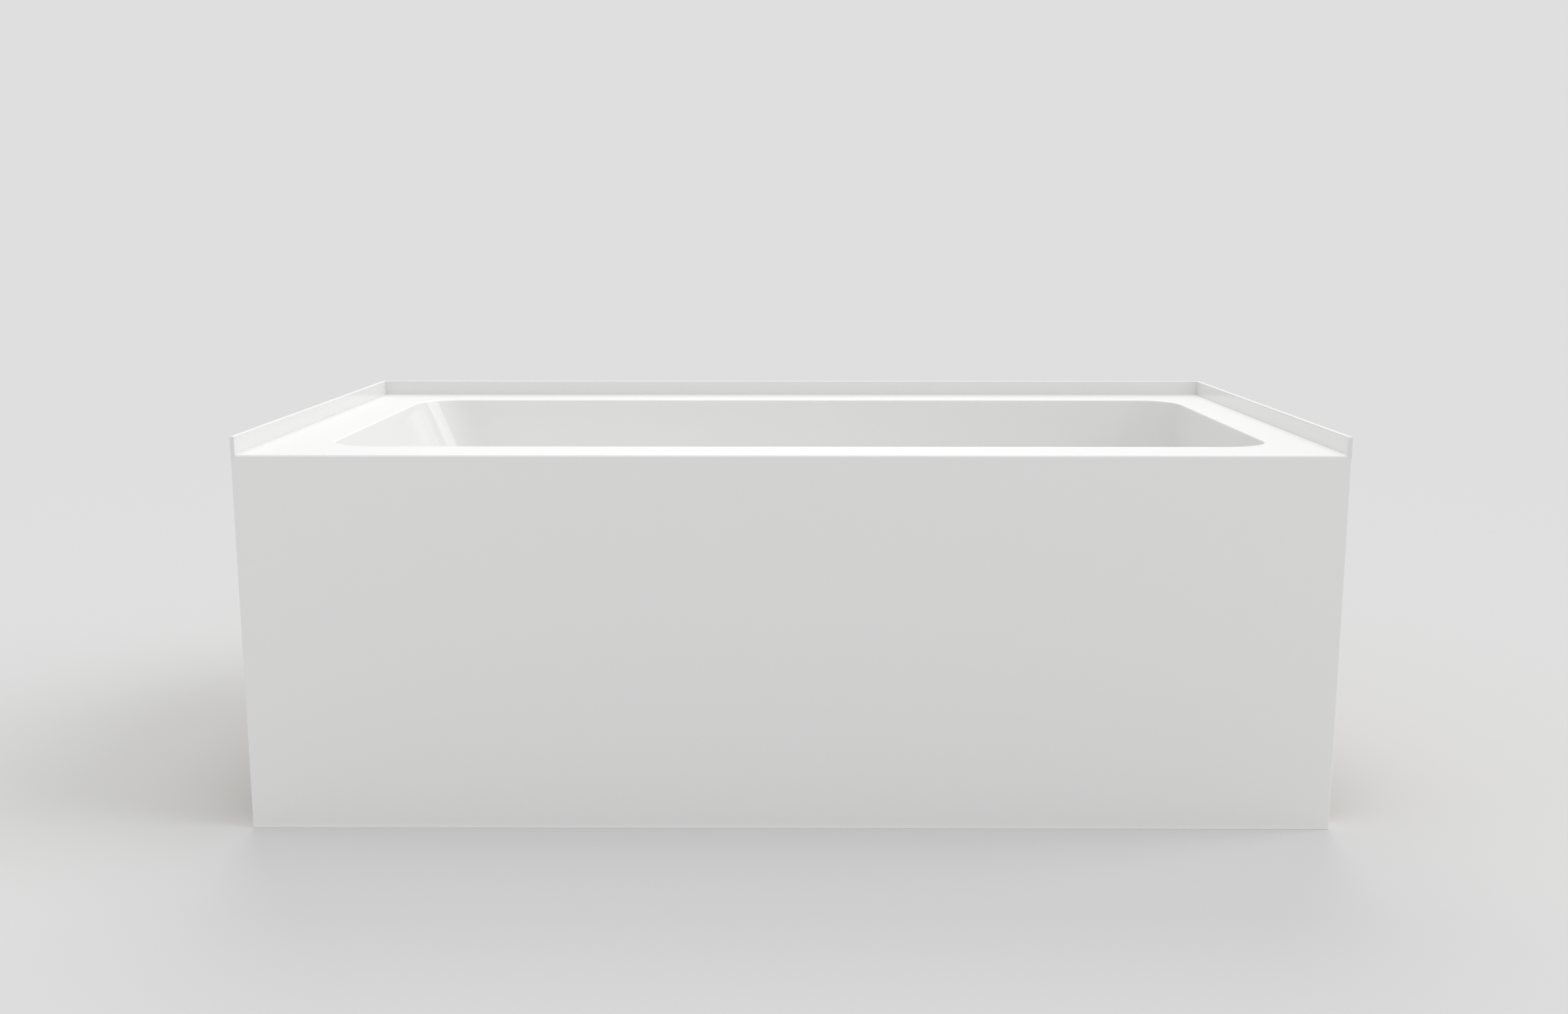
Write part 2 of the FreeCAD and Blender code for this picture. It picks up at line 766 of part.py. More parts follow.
# ---- Overflow ----
def elbow_face():
    """Where the elbow's flat plate meets the wedge gasket."""
    outer_wall = rim_right + skin_thickness / math.cos(drain_end)
    thin_side = overflow_height + overflow_gasket_radius
    return outer_wall - math.tan(drain_end) * (deck_height - thin_side) + wedge_least


def overflow_gasket():
    """Wedge ring that makes up the slope between the end wall and the upright elbow."""
    start = Vector(elbow_face() - overflow_gasket_radius, basin_middle, overflow_height)
    ring = pipe(overflow_gasket_radius, overflow_gasket_bore, start, along, overflow_gasket_radius)
    return ring.cut(basin_form(skin_thickness, deck_height))


def overflow_screw_places():
    """Where each screw's head meets the cover, on the wall's own slope."""
    centre, normal = overflow_frame()
    for side_step in (-1, 1):
        across = Vector(0, side_step * overflow_screw_spacing / 2, 0)
        yield centre + across - normal * cover_height, normal


def overflow_elbow():
    """Plate, neck and downward socket behind the end wall."""
    face = Vector(elbow_face(), basin_middle, overflow_height)
    body = rod(overflow_gasket_radius, face, along, elbow_plate_thickness)
    body = body.fuse([
        rod(elbow_neck_radius, face, along, riser_x - face.x),
        Part.makeSphere(fitting_radius, elbow_middle),
        port(elbow_middle, down, elbow_drop),
    ])
    body = body.cut(rod(elbow_neck_bore, face, along, riser_x - face.x))
    body = body.cut(Part.makeSphere(fitting_bore_radius, elbow_middle))
    body = body.cut(port_bore(elbow_middle, down, elbow_drop))
    for point, normal in overflow_screw_places():
        body = body.cut(rod(screw_radius + screw_point_clearance, point, normal, overflow_screw_length + 1))
    return body


def on_wall(shape):
    """Moves a shape from the origin, facing up, to the overflow, facing into the basin."""
    centre, normal = overflow_frame()
    turn = FreeCAD.Rotation(up, normal * -1)
    shape.Placement = FreeCAD.Placement(centre, turn)
    return shape


def overflow_cover():
    """Shallow chromed dish, open to the wall, with a slot at its lower edge."""
    dish = rod(cover_radius, Vector(0, 0, 0), up, cover_height)
    dish = rounded(dish, cover_edge_radius, lambda p: near(p.z, cover_height))
    dish = dish.cut(rod(cover_radius - cover_wall, Vector(0, 0, 0), up, cover_height - cover_wall))
    dish = on_wall(dish)
    centre, normal = overflow_frame()
    slot_bottom = overflow_height - cover_radius - cover_wall
    slot = block(
        centre.x - 2 * cover_height, centre.x - cover_wall, basin_middle - cover_slot_width / 2,
        basin_middle + cover_slot_width / 2, slot_bottom, slot_bottom + cover_slot_height,
    )
    dish = dish.cut(slot)
    for point, inwards in overflow_screw_places():
        dish = dish.cut(rod(screw_radius + screw_point_clearance, point, inwards, cover_height))
    return dish


def overflow_screws():
    return [screw(point, normal, 0, overflow_screw_length) for point, normal in overflow_screw_places()]


# ---- Every piece, each in its own file ----
os.makedirs("parts", exist_ok=True)

save("tub_shell", tub_shell())
save("fibreglass_backing", fibreglass_backing())
save("tile_flange_left", side_flange(left, inner_left))
save("tile_flange_right", side_flange(right, inner_right))
save("tile_flange_back", back_flange())
save("apron_panel", apron_panel())
save("apron_board", apron_board())
save("apron_sill", block(
    left + apron_thickness, right - apron_thickness, apron_board_back, apron_board_back + sill_width,
    apron_thickness, apron_thickness + sill_height,
))
save("apron_posts", *apron_posts())
for batten_name, batten in rim_battens().items():
    save(batten_name, batten)

save("floor_board", floor_board())
for rail_name, rail_x in zip(("left", "middle", "right"), cross_rail_x):
    save("cross_rail_" + rail_name, cross_rail(rail_x))
save("long_rail_front", *long_rails(basin_middle - long_rail_y))
save("long_rail_back", *long_rails(basin_middle + long_rail_y))
save("rail_end_caps", *rail_end_caps())
save("board_tabs", *board_tabs())
save("board_screws", *board_screws())
save("apron_cleats", *apron_cleats())
save("cleat_screws", *cleat_screws())

save("foot_weld_nuts", *foot_nuts(weld_nut_bottom, weld_nut_height))
save("foot_lock_nuts", *foot_nuts(lock_nut_bottom, lock_nut_height))
for number, (foot_x, foot_y) in enumerate(foot_places, start=1):
    save(f"foot_{number}_stud", foot_stud(foot_x, foot_y))
    save(f"foot_{number}_pad", foot_pad(foot_x, foot_y))

save("drain_flange", drain_flange())
save("drain_gasket", drain_gasket())
save("drain_shoe", drain_shoe())
save("stopper_post", stopper_post())
save("stopper_barrel", stopper_barrel())
save("stopper_seal", stopper_seal())
save("stopper_cap", stopper_cap())
save("stopper_spring", stopper_spring())

save("waste_tee", waste_tee())
save("waste_pipe", pipe_between(shoe_mouth, tee_side_mouth))
save("overflow_riser", pipe_between(tee_top_mouth, elbow_mouth))
save("waste_spigot", waste_spigot())
save("slip_nut_waste", slip_nut(tee_side_mouth, -along))
save("slip_nut_riser_low", slip_nut(tee_top_mouth, up))
save("slip_nut_riser_high", slip_nut(elbow_mouth, down))
save(
    "slip_washers",
    slip_washer(tee_side_mouth, -along),
    slip_washer(tee_top_mouth, up),
    slip_washer(elbow_mouth, down),
)

save("overflow_gasket", overflow_gasket())
save("overflow_elbow", overflow_elbow())
save("overflow_cover", overflow_cover())
save("overflow_screws", *overflow_screws())
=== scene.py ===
import json
import math

import bmesh
import bpy
from mathutils import Matrix, Vector, noise

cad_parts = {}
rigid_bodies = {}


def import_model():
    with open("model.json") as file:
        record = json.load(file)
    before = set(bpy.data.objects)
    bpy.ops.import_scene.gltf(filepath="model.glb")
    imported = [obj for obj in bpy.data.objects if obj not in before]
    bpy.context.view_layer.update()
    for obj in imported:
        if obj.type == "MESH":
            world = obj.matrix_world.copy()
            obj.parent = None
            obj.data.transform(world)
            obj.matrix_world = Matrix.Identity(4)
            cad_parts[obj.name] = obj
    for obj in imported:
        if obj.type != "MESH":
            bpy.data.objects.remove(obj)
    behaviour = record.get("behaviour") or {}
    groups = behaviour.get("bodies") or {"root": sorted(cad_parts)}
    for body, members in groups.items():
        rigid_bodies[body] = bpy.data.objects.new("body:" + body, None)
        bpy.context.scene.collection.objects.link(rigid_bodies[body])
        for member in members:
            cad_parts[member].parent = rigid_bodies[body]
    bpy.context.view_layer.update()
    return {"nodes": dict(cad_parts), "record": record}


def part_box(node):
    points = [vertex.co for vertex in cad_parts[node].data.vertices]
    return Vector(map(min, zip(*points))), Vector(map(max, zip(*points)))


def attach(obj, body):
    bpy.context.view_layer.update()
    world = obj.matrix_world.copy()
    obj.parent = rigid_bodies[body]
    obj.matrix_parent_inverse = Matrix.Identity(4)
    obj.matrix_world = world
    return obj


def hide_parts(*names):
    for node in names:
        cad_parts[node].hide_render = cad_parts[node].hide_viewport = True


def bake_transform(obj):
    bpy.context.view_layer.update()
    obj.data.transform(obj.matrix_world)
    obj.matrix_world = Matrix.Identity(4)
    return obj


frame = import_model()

up, down = Vector((0, 0, 1)), Vector((0, 0, -1))
along, across = Vector((1, 0, 0)), Vector((0, 1, 0))
merge, near = 1e-6, 1e-4   # corners this close are one, and what is this close is level


def boxOf(node):
    low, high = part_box(node)
    return Vector(low), Vector(high)


def middleOf(node):
    low, high = boxOf(node)
    return (low + high) / 2


# Meshes

def newPiece(name, mesh):
    obj = bpy.data.objects.new(name, mesh)
    bpy.context.scene.collection.objects.link(obj)
    return obj


def pieceFrom(name, points, faces, edges=()):
    mesh = bpy.data.meshes.new(name)
    mesh.from_pydata([tuple(point) for point in points], edges, faces)
    return newPiece(name, mesh)


def pieceFromBm(name, bm):
    mesh = bpy.data.meshes.new(name)
    bm.to_mesh(mesh)
    bm.free()
    return newPiece(name, mesh)


# a mesh opened for work, its double corners merged
def opened(mesh):
    bm = bmesh.new()
    bm.from_mesh(mesh)
    bmesh.ops.remove_doubles(bm, verts=bm.verts, dist=merge)
    return bm


def drop(obj):
    mesh = obj.data
    bpy.data.objects.remove(obj)
    bpy.data.meshes.remove(mesh)


def applyModifiers(obj):
    graph, old = bpy.context.evaluated_depsgraph_get(), obj.data
    mesh = bpy.data.meshes.new_from_object(obj.evaluated_get(graph), depsgraph=graph)
    obj.modifiers.clear()
    obj.data = mesh
    bpy.data.meshes.remove(old)
    return obj


def cutAway(obj, *tools):
    for tool in tools:
        modifier = obj.modifiers.new("cut", "BOOLEAN")
        modifier.operation, modifier.solver, modifier.object = "DIFFERENCE", "EXACT", tool
    applyModifiers(obj)
    for tool in tools:
        drop(tool)
    return obj


# smooth shading that stays flat on the large faces
def shade(obj, limit=50):
    for polygon in obj.data.polygons:
        polygon.use_smooth = True
    obj.data.set_sharp_from_angle(angle=math.radians(limit))
    obj.modifiers.new("shading", "WEIGHTED_NORMAL").keep_sharp = True
    return applyModifiers(obj)


def joined(name, objs):
    bm = bmesh.new()
    for obj in objs:
        bm.from_mesh(obj.data)
        drop(obj)
    return pieceFromBm(name, bm)


def moved(obj, matrix):
    obj.data.transform(matrix)
    return obj


def facing(direction, place=Vector((0, 0, 0))):
    return Matrix.Translation(place) @ direction.to_track_quat("Z", "Y").to_matrix().to_4x4()


# an outline's corners, each given as (x, y, radius), rounded with short runs
def roundedOutline(corners, steps=5):
    outline = []
    for i, (x, y, radius) in enumerate(corners):
        here = Vector((x, y))
        if radius == 0:
            outline.append(here)
            continue
        before = (Vector(corners[i - 1][:2]) - here).normalized()
        after = (Vector(corners[(i + 1) % len(corners)][:2]) - here).normalized()
        half = before.angle(after) / 2
        centre = here + (before + after).normalized() * (radius / math.sin(half))
        start, finish = (here + side * (radius / math.tan(half)) - centre for side in (before, after))
        outline += [centre + start.lerp(finish, k / steps).normalized() * radius for k in range(steps + 1)]
    return outline


# directions round a circle
def circle(steps):
    return [Vector((math.cos(math.tau * i / steps), math.sin(math.tau * i / steps), 0)) for i in range(steps)]


class Surface:
    def __init__(self):
        self.bm = bmesh.new()

    def row(self, points):
        return [self.bm.verts.new(point) for point in points]

    def band(self, first, second, skip=()):
        for i in range(len(first)):
            if i not in skip:
                after = (i + 1) % len(first)
                self.bm.faces.new((first[i], first[after], second[after], second[i]))

    # rows of points, with bands between those that follow each other
    def sheet(self, rows, skip=()):
        rows = [self.row(row) for row in rows]
        for first, second in zip(rows, rows[1:]):
            self.band(first, second, skip)
        return rows

    # a flat face with holes in it
    def fill(self, *rows):
        edges = []
        for row in rows:
            for pair in zip(row, row[1:] + row[:1]):
                edges.append(self.bm.edges.get(pair) or self.bm.edges.new(pair))
        bmesh.ops.triangle_fill(self.bm, use_beauty=True, edges=edges)

    def piece(self, name):
        bmesh.ops.remove_doubles(self.bm, verts=self.bm.verts, dist=merge)
        bmesh.ops.recalc_face_normals(self.bm, faces=self.bm.faces)
        return pieceFromBm(name, self.bm)


# a skin over rows of points, capped at both ends
def loft(name, rows):
    surface = Surface()
    rows = surface.sheet(rows)
    surface.bm.faces.new(rows[0])
    surface.bm.faces.new(rows[-1])
    return surface.piece(name)


def lathe(name, corners, steps=96, arcSteps=5):
    outline, surface = roundedOutline(corners, arcSteps), Surface()
    onAxis = [i for i, p in enumerate(outline) if max(p.x, outline[(i + 1) % len(outline)].x) < merge]
    rows = surface.sheet([[way * p.x + up * p.y for p in outline] for way in circle(steps)], onAxis)
    surface.band(rows[-1], rows[0], onAxis)
    return surface.piece(name)


# the edges are the roundings of the four corners, from the inner foot round to the inner top
def turnedRing(name, inner, outer, low, high, edges=(0, 0, 0, 0), steps=80, arcSteps=3):
    places = ((inner, low), (outer, low), (outer, high), (inner, high))
    return lathe(name, [(*place, edge) for place, edge in zip(places, edges)], steps, arcSteps)


# the separate solids of a node, each as its list of corners
def solidsOf(node):
    bm = opened(frame["nodes"][node].data)
    left, solids = dict.fromkeys(bm.verts), []
    while left:
        wave, solid = [left.popitem()[0]], []
        while wave:
            vertex = wave.pop()
            solid.append(vertex.co.copy())
            for other in (edge.other_vert(vertex) for edge in vertex.link_edges):
                if other in left:
                    del left[other]
                    wave.append(other)
        solids.append(solid)
    bm.free()
    return solids


def spanOf(points):
    return [Vector([pick(point[axis] for point in points) for axis in range(3)]) for pick in (min, max)]


def spansOf(node):
    return [spanOf(solid) for solid in solidsOf(node)]


# rounds the wanted edges among those that turn sharply
def roundSharp(bm, width, segments=2, wanted=lambda a, b: True):
    edges = [edge for edge in bm.edges if len(edge.link_faces) == 2
             and edge.calc_face_angle(0) > math.radians(30) and wanted(*(vertex.co for vertex in edge.verts))]
    bmesh.ops.bevel(bm, geom=edges, offset=width, segments=segments, affect="EDGES", profile=0.5)


# a node's own shape, merged and with its edges rounded where wanted
def easedCopy(node, width, segments=2, wanted=lambda a, b: True):
    bm = opened(frame["nodes"][node].data)
    bmesh.ops.dissolve_limit(bm, angle_limit=math.radians(1), verts=bm.verts, edges=bm.edges)
    roundSharp(bm, width, segments, wanted)
    return shade(pieceFromBm(node + "Shape", bm))


def roundedBlock(name, low, high, width, segments=3, wanted=lambda a, b: True):
    bm = bmesh.new()
    bmesh.ops.create_cube(bm, size=1)
    for vertex in bm.verts:
        vertex.co = [low[axis] if vertex.co[axis] < 0 else high[axis] for axis in range(3)]
    roundSharp(bm, width, segments, wanted)
    return pieceFromBm(name, bm)


def dressPiece(obj, slot, *replaced, material=None):
    obj.data.materials.clear()
    obj.data.materials.append(material or finishes[slot])
    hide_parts(*replaced)
    return obj


def finishPiece(obj, slot, *replaced, material=None):
    bodies = frame["record"]["behaviour"]["bodies"]
    body = next(name for name, members in bodies.items() if replaced[0] in members)
    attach(dressPiece(obj, slot, *replaced, material=material), body)
    return obj


# Nodes: a wire is one output, and each sign between wires adds a Math node

class Wire:
    def __init__(self, graph, socket):
        self.graph, self.socket = graph, socket

    def do(self, operation, *others):
        return self.graph.math(operation, self, *others)

    def beside(self, name):
        return Wire(self.graph, self.socket.node.outputs[name])

    __add__ = lambda self, other: self.do("ADD", other)
    __sub__ = lambda self, other: self.do("SUBTRACT", other)
    __mul__ = lambda self, other: self.do("MULTIPLY", other)
    __truediv__ = lambda self, other: self.do("DIVIDE", other)
    __rsub__ = lambda self, other: self.graph.math("SUBTRACT", other, self)
    __rtruediv__ = lambda self, other: self.graph.math("DIVIDE", other, self)
    __abs__ = lambda self: self.do("ABSOLUTE")

    def ramp(self, low, high, start=0.0, finish=1.0):
        return self.graph.add("ShaderNodeMapRange", {
            "Value": self, "From Min": low, "From Max": high, "To Min": start, "To Max": finish})

    # the wire is the second colour's share
    def mix(self, first, second):
        return self.graph.add("ShaderNodeMix", {0: self, 6: first, 7: second}, 2, data_type="RGBA")


class Graph:
    def __init__(self, tree):
        self.tree = tree

    def feed(self, socket, value):
        if isinstance(value, Wire):
            self.tree.links.new(value.socket, socket)
        elif isinstance(value, list):
            for wire in value:
                self.tree.links.new(wire.socket, socket)
        else:
            socket.default_value = (*value, 1) if socket.type == "RGBA" else value

    # adds a node and gives one output; inputs and the output go by name or number
    def add(self, kind, inputs=None, output=0, **settings):
        node = self.tree.nodes.new(kind)
        for name, value in settings.items():
            setattr(node, name, value)
        for name, value in (inputs or {}).items():
            self.feed(node.inputs[name], value)
        return Wire(self, node.outputs[output])

    def math(self, operation, *values):
        return self.add("ShaderNodeMath", dict(enumerate(values)), operation=operation)

    def part(self, vector, axis):
        return self.add("ShaderNodeSeparateXYZ", {"Vector": vector}, axis)


# Materials

class Finish(Graph):
    def __init__(self, name, colour, roughness, metallic=0.0, **sockets):
        self.material = bpy.data.materials.new(name)
        self.material.use_nodes = True
        super().__init__(self.material.node_tree)
        self.shader = self.tree.nodes["Principled BSDF"]
        sockets = {"Base_Color": colour, "Roughness": roughness, "Metallic": metallic, **sockets}
        for label, value in sockets.items():
            self[label.replace("_", " ")] = value
        self.place = self.add("ShaderNodeTexCoord", output="Object")
        self.height = None

    def __setitem__(self, label, value):
        self.feed(self.shader.inputs[label], value)

    # the object's own coordinates, shifted, turned and then stretched
    def mapped(self, scale=(1, 1, 1), turn=(0, 0, 0), shift=(0, 0, 0)):
        return self.add("ShaderNodeMapping", {
            "Vector": self.place, "Scale": tuple(1 / factor for factor in scale), "Location": shift,
            "Rotation": tuple(math.radians(angle) for angle in turn)}, vector_type="TEXTURE")

    def noise(self, scale, detail=4, roughness=0.5, where=None, distortion=0.0):
        return self.add("ShaderNodeTexNoise", {
            "Vector": where or self.place, "Scale": scale, "Detail": detail, "Roughness": roughness,
            "Distortion": distortion})

    def cells(self, scale, where=None, output="Distance"):
        return self.add("ShaderNodeTexVoronoi", {"Vector": where or self.place, "Scale": scale}, output)

    # each bump lies over the last one, its depth in metres
    def bump(self, source, depth, strength=1.0):
        inputs = {"Strength": strength, "Distance": depth, "Height": source}
        if self.height:
            inputs["Normal"] = self.height
        self.height = self.add("ShaderNodeBump", inputs)
        self["Normal"] = self.height


def darker(colour, share):
    return tuple(share * value for value in colour)


# above some level it is duller: the deck from use, the flange's top from sawing
def acrylic(name, white, gloss, level, dullness):
    finish = Finish(name, (white, white, white - 0.005), gloss, IOR=1.49)
    cloudy = finish.noise(3.5, 3)
    scuffs = finish.noise(1, 6, 0.7, finish.mapped((60, 900, 400), (0, 0, 24)))
    worn = cloudy.ramp(0.3, 0.7, 0.8 * gloss, 1.2 * gloss) + scuffs.ramp(0.66, 0.8, 0, 0.05)
    finish["Roughness"] = worn + finish.part(finish.place, "Z").ramp(level - 0.0025, level, 0, dullness)
    finish.bump(finish.noise(5, 2), 0.0005, 0.15)   # slow waves that forming leaves
    finish.bump(finish.noise(420, 2), 0.00002, 0.25)
    return finish.material


def resinAndGlass():
    finish = Finish("resinAndGlass", (0.7, 0.66, 0.52), 0.38)
    turns = ((5, 90, 0), (85, 10, 0), (40, 0, 25), (0, -35, 70), (-30, 60, 20), (60, 50, -40))
    layers = [finish.noise(1, 1, 0.4, finish.mapped((700, 700, 30), turn)).ramp(0.58, 0.68) for turn in turns]
    strands = layers[0]
    for layer in layers[1:]:
        strands = strands.do("MAXIMUM", layer)
    runs = finish.noise(26, 5, 0.6)
    resin = runs.ramp(0.3, 0.7).mix((0.62, 0.56, 0.40), (0.76, 0.72, 0.58))
    veiled = strands * finish.noise(14, 3).ramp(0.35, 0.65, 0.25, 0.8)
    finish["Base Color"] = veiled.mix(resin, (0.84, 0.82, 0.74))
    finish["Roughness"] = finish.noise(60, 4).ramp(0.3, 0.7, 0.25, 0.6)
    finish.bump(runs, 0.0025, 0.5)
    finish.bump(strands, 0.0004, 0.6)
    return finish.material


# the grain runs along Z of the turned coordinates
def wood(name, pale, dark, turn, shift):
    finish = Finish(name, pale, 0.6)
    place = finish.mapped((1, 1, 0.06), turn, shift)
    wander = finish.noise(9, 3, 0.5, place)
    rings = finish.add("ShaderNodeTexWave", {
        "Vector": place, "Scale": 32, "Distortion": 3.5, "Detail": 2}, "Fac",
        wave_type="RINGS", rings_direction="Z", wave_profile="SAW")
    fibres = finish.noise(900, 3, 0.6, place)
    knots = finish.cells(5.5, finish.mapped((1, 1, 0.45), turn, shift)).ramp(0.03, 0.10, 1, 0)
    body = rings.ramp(0.0, 1.0, 0.1, 0.9).mix(pale, dark)
    body = wander.ramp(0.35, 0.7, 0, 0.45).mix(body, dark)
    body = knots.mix(body, darker(dark, 0.45))
    finish["Base Color"] = fibres.ramp(0.55, 0.75, 0, 0.25).mix(body, darker(dark, 0.7))
    finish["Roughness"] = fibres.ramp(0.3, 0.7, 0.5, 0.75)
    finish.bump(fibres, 0.00025, 0.5)
    return finish.material


# veneers stacked along one axis, seen at the board's edges
def plywood(name, axis):
    finish = Finish(name, (0.62, 0.45, 0.27), 0.6)
    place = finish.mapped((1, 1, 0.05), (0, 90, 0))
    face = finish.noise(22, 4, 0.55, place, 1.2).ramp(0.35, 0.65).mix((0.70, 0.53, 0.33), (0.56, 0.39, 0.22))
    plies = finish.part(finish.place, axis).do("PINGPONG", 0.0016)
    edge = plies.ramp(0.0006, 0.001).mix((0.66, 0.50, 0.31), (0.34, 0.21, 0.11))
    normal = finish.part(finish.add("ShaderNodeNewGeometry", output="True Normal"), axis)
    finish["Base Color"] = abs(normal).ramp(0.5, 0.8).mix(edge, face)
    finish.bump(finish.noise(1100, 3, 0.6, place), 0.0002, 0.5)
    return finish.material


def zincSteel():
    finish = Finish("zincSteel", (0.60, 0.61, 0.62), 0.42, 1.0)
    red = finish.add("ShaderNodeSeparateColor", {"Color": finish.cells(85, output="Color")}, "Red")
    stain = finish.noise(38, 5, 0.65).ramp(0.56, 0.72)
    finish["Base Color"] = stain.mix(red.mix((0.53, 0.54, 0.56), (0.68, 0.69, 0.70)), (0.74, 0.74, 0.73))
    finish["Roughness"] = red.beside("Green").ramp(0, 1, 0.3, 0.48) + stain.ramp(0, 1, 0, 0.22)
    finish.bump(finish.noise(700, 3), 0.00006, 0.4)
    return finish.material


def weldSteel():
    finish = Finish("weldSteel", (0.30, 0.28, 0.27), 0.5, 1.0)
    finish["Base Color"] = finish.noise(240, 3).ramp(0.35, 0.65).mix((0.16, 0.15, 0.15), (0.46, 0.42, 0.38))
    finish.bump(finish.noise(1500, 2), 0.0001, 0.6)
    return finish.material


# turned or drawn metal, with fine rings round the upright axis
def bareMetal(name, colour, roughness, rings=0.0):
    finish = Finish(name, colour, roughness, 1.0)
    smudge = finish.noise(70, 4, 0.6)
    finish["Base Color"] = smudge.ramp(0.3, 0.75).mix(colour, darker(colour, 0.82))
    finish["Roughness"] = smudge.ramp(0.3, 0.7, roughness * 0.7, roughness * 1.4)
    if rings:
        finish.bump(finish.noise(1, 2, 0.5, finish.mapped((8, 8, 5200))), rings, 0.5)
    finish.bump(finish.noise(1300, 3), 0.00001, 0.3)
    return finish.material


def chromePlate():
    finish = Finish("chromePlate", (0.86, 0.87, 0.88), 0.05, 1.0)
    spots = finish.cells(330).ramp(0.05, 0.12, 1, 0) * finish.noise(30, 2).ramp(0.55, 0.7)
    finish["Roughness"] = finish.noise(45, 5, 0.6).ramp(0.4, 0.75, 0.035, 0.10) + spots.ramp(0, 1, 0, 0.12)
    finish.bump(finish.noise(260, 3), 0.000008, 0.3)
    return finish.material


def moulded(name, colour, roughness, grain=0.00004):
    finish = Finish(name, colour, roughness, IOR=1.5)
    mottle = finish.noise(55, 4, 0.6)
    lighter = tuple(min(1, 1.12 * value + 0.006) for value in colour)
    scuffs = finish.noise(1, 5, 0.7, finish.mapped((300, 300, 900), (30, 20, 0))).ramp(0.62, 0.78)
    finish["Base Color"] = mottle.ramp(0.3, 0.7).mix(colour, lighter)
    worn = mottle.ramp(0.3, 0.7, roughness * 0.85, roughness * 1.15)
    finish["Roughness"] = worn + scuffs.ramp(0, 1, 0, 0.1)
    finish.bump(finish.noise(1600, 2), grain, 0.5)
    finish.bump(mottle, grain * 4, 0.4)
    return finish.material


print("materials")
finishes = {
    "acrylic": acrylic("whiteAcrylic", 0.87, 0.09, boxOf("tub_shell")[1].z - 0.0005, 0.26),
    # the strips take a darker copy of the tub's acrylic: painted shade that dims the flange faces
    "strip": acrylic("stripAcrylic", 0.84, 0.04, boxOf("tile_flange_back")[1].z, 0.6),
    "fibreglass": resinAndGlass(),
    "zinc_steel": zincSteel(),
    "weld": weldSteel(),
    "spring_steel": bareMetal("springSteel", (0.58, 0.58, 0.58), 0.3),
    "black_plastic": moulded("blackPlastic", (0.022, 0.022, 0.023), 0.5, 0.00012),
    "chrome": chromePlate(),
    "brass": bareMetal("turnedBrass", (0.78, 0.58, 0.27), 0.26, 0.00003),
    "rubber": moulded("blackRubber", (0.018, 0.018, 0.018), 0.72, 0.0001),
    "pvc": moulded("whitePipe", (0.76, 0.76, 0.73), 0.3),
    "nut_plastic": moulded("greyPlastic", (0.23, 0.24, 0.25), 0.42, 0.00008),
}


# Geometry Nodes

class Tree(Graph):
    def __init__(self, name, inputs):
        super().__init__(bpy.data.node_groups.new(name, "GeometryNodeTree"))
        self.ids = {}
        for label, value in {"Geometry": None, **inputs, "Material": None}.items():
            kind = label if value is None else "Int" if isinstance(value, int) else "Float"
            socket = self.tree.interface.new_socket(label, in_out="INPUT", socket_type="NodeSocket" + kind)
            if value is not None:
                socket.default_value = value
            self.ids[label] = socket.identifier
        self.tree.interface.new_socket("Geometry", in_out="OUTPUT", socket_type="NodeSocketGeometry")
        self.start = self.tree.nodes.new("NodeGroupInput").outputs

    def given(self, *labels):
        return [Wire(self, self.start[label]) for label in labels]

    def point(self, x, y, z):
        return self.add("ShaderNodeCombineXYZ", {0: x, 1: y, 2: z})

    def position(self):
        place = self.part(self.add("GeometryNodeInputPosition"), "X")
        return place, place.beside("Y"), place.beside("Z")

    def cylinder(self, sides, segments, radius, depth, rings=1, fill="NGON"):
        return self.add("GeometryNodeMeshCylinder", {
            "Vertices": sides, "Side Segments": segments, "Fill Segments": rings, "Radius": radius,
            "Depth": depth}, fill_type=fill)

    def raised(self, geometry, height):
        return self.add("GeometryNodeTransform", {
            "Geometry": geometry, "Translation": self.point(0.0, 0.0, height)})

    def cut(self, geometry, *tools):
        inputs = {"Mesh 1": geometry, "Mesh 2": list(tools)}
        return self.add("GeometryNodeMeshBoolean", inputs, operation="DIFFERENCE")

    # sets each point's distance from the upright axis, and its height
    def reshape(self, geometry, radius, height):
        x, y, _ = self.position()
        angle = y.do("ARCTAN2", x)
        place = self.point(radius * angle.do("COSINE"), radius * angle.do("SINE"), height)
        return self.add("GeometryNodeSetPosition", {"Geometry": geometry, "Position": place})

    # copies on the points of a mesh, turned to its direction attribute
    def onPoints(self, geometry, spin=0.0):
        direction = self.add("GeometryNodeInputNamedAttribute", {"Name": "direction"}, "Attribute",
                             data_type="FLOAT_VECTOR")
        turned = self.add("FunctionNodeAlignRotationToVector", {"Vector": direction}, axis="Z")
        twist = self.add("FunctionNodeAxisAngleToRotation", {"Axis": (0, 0, 1), "Angle": spin})
        turned = self.add("FunctionNodeRotateRotation", {"Rotation": turned, "Rotate By": twist},
                          rotation_space="LOCAL")
        return self.add("GeometryNodeInstanceOnPoints", {
            "Points": self.given("Geometry")[0], "Instance": geometry, "Rotation": turned})

    def close(self, geometry):
        real = self.add("GeometryNodeRealizeInstances", {"Geometry": geometry})
        done = self.add("GeometryNodeSetMaterial", {"Geometry": real, "Material": self.given("Material")[0]})
        self.feed(self.tree.nodes.new("NodeGroupOutput").inputs["Geometry"], done)
        return self

    def applyTo(self, obj, material, **values):
        modifier = obj.modifiers.new("nodes", "NODES")
        modifier.node_group = self.tree
        for label, value in {"Material": material, **values}.items():
            modifier[self.ids[label]] = value
        return applyModifiers(obj)


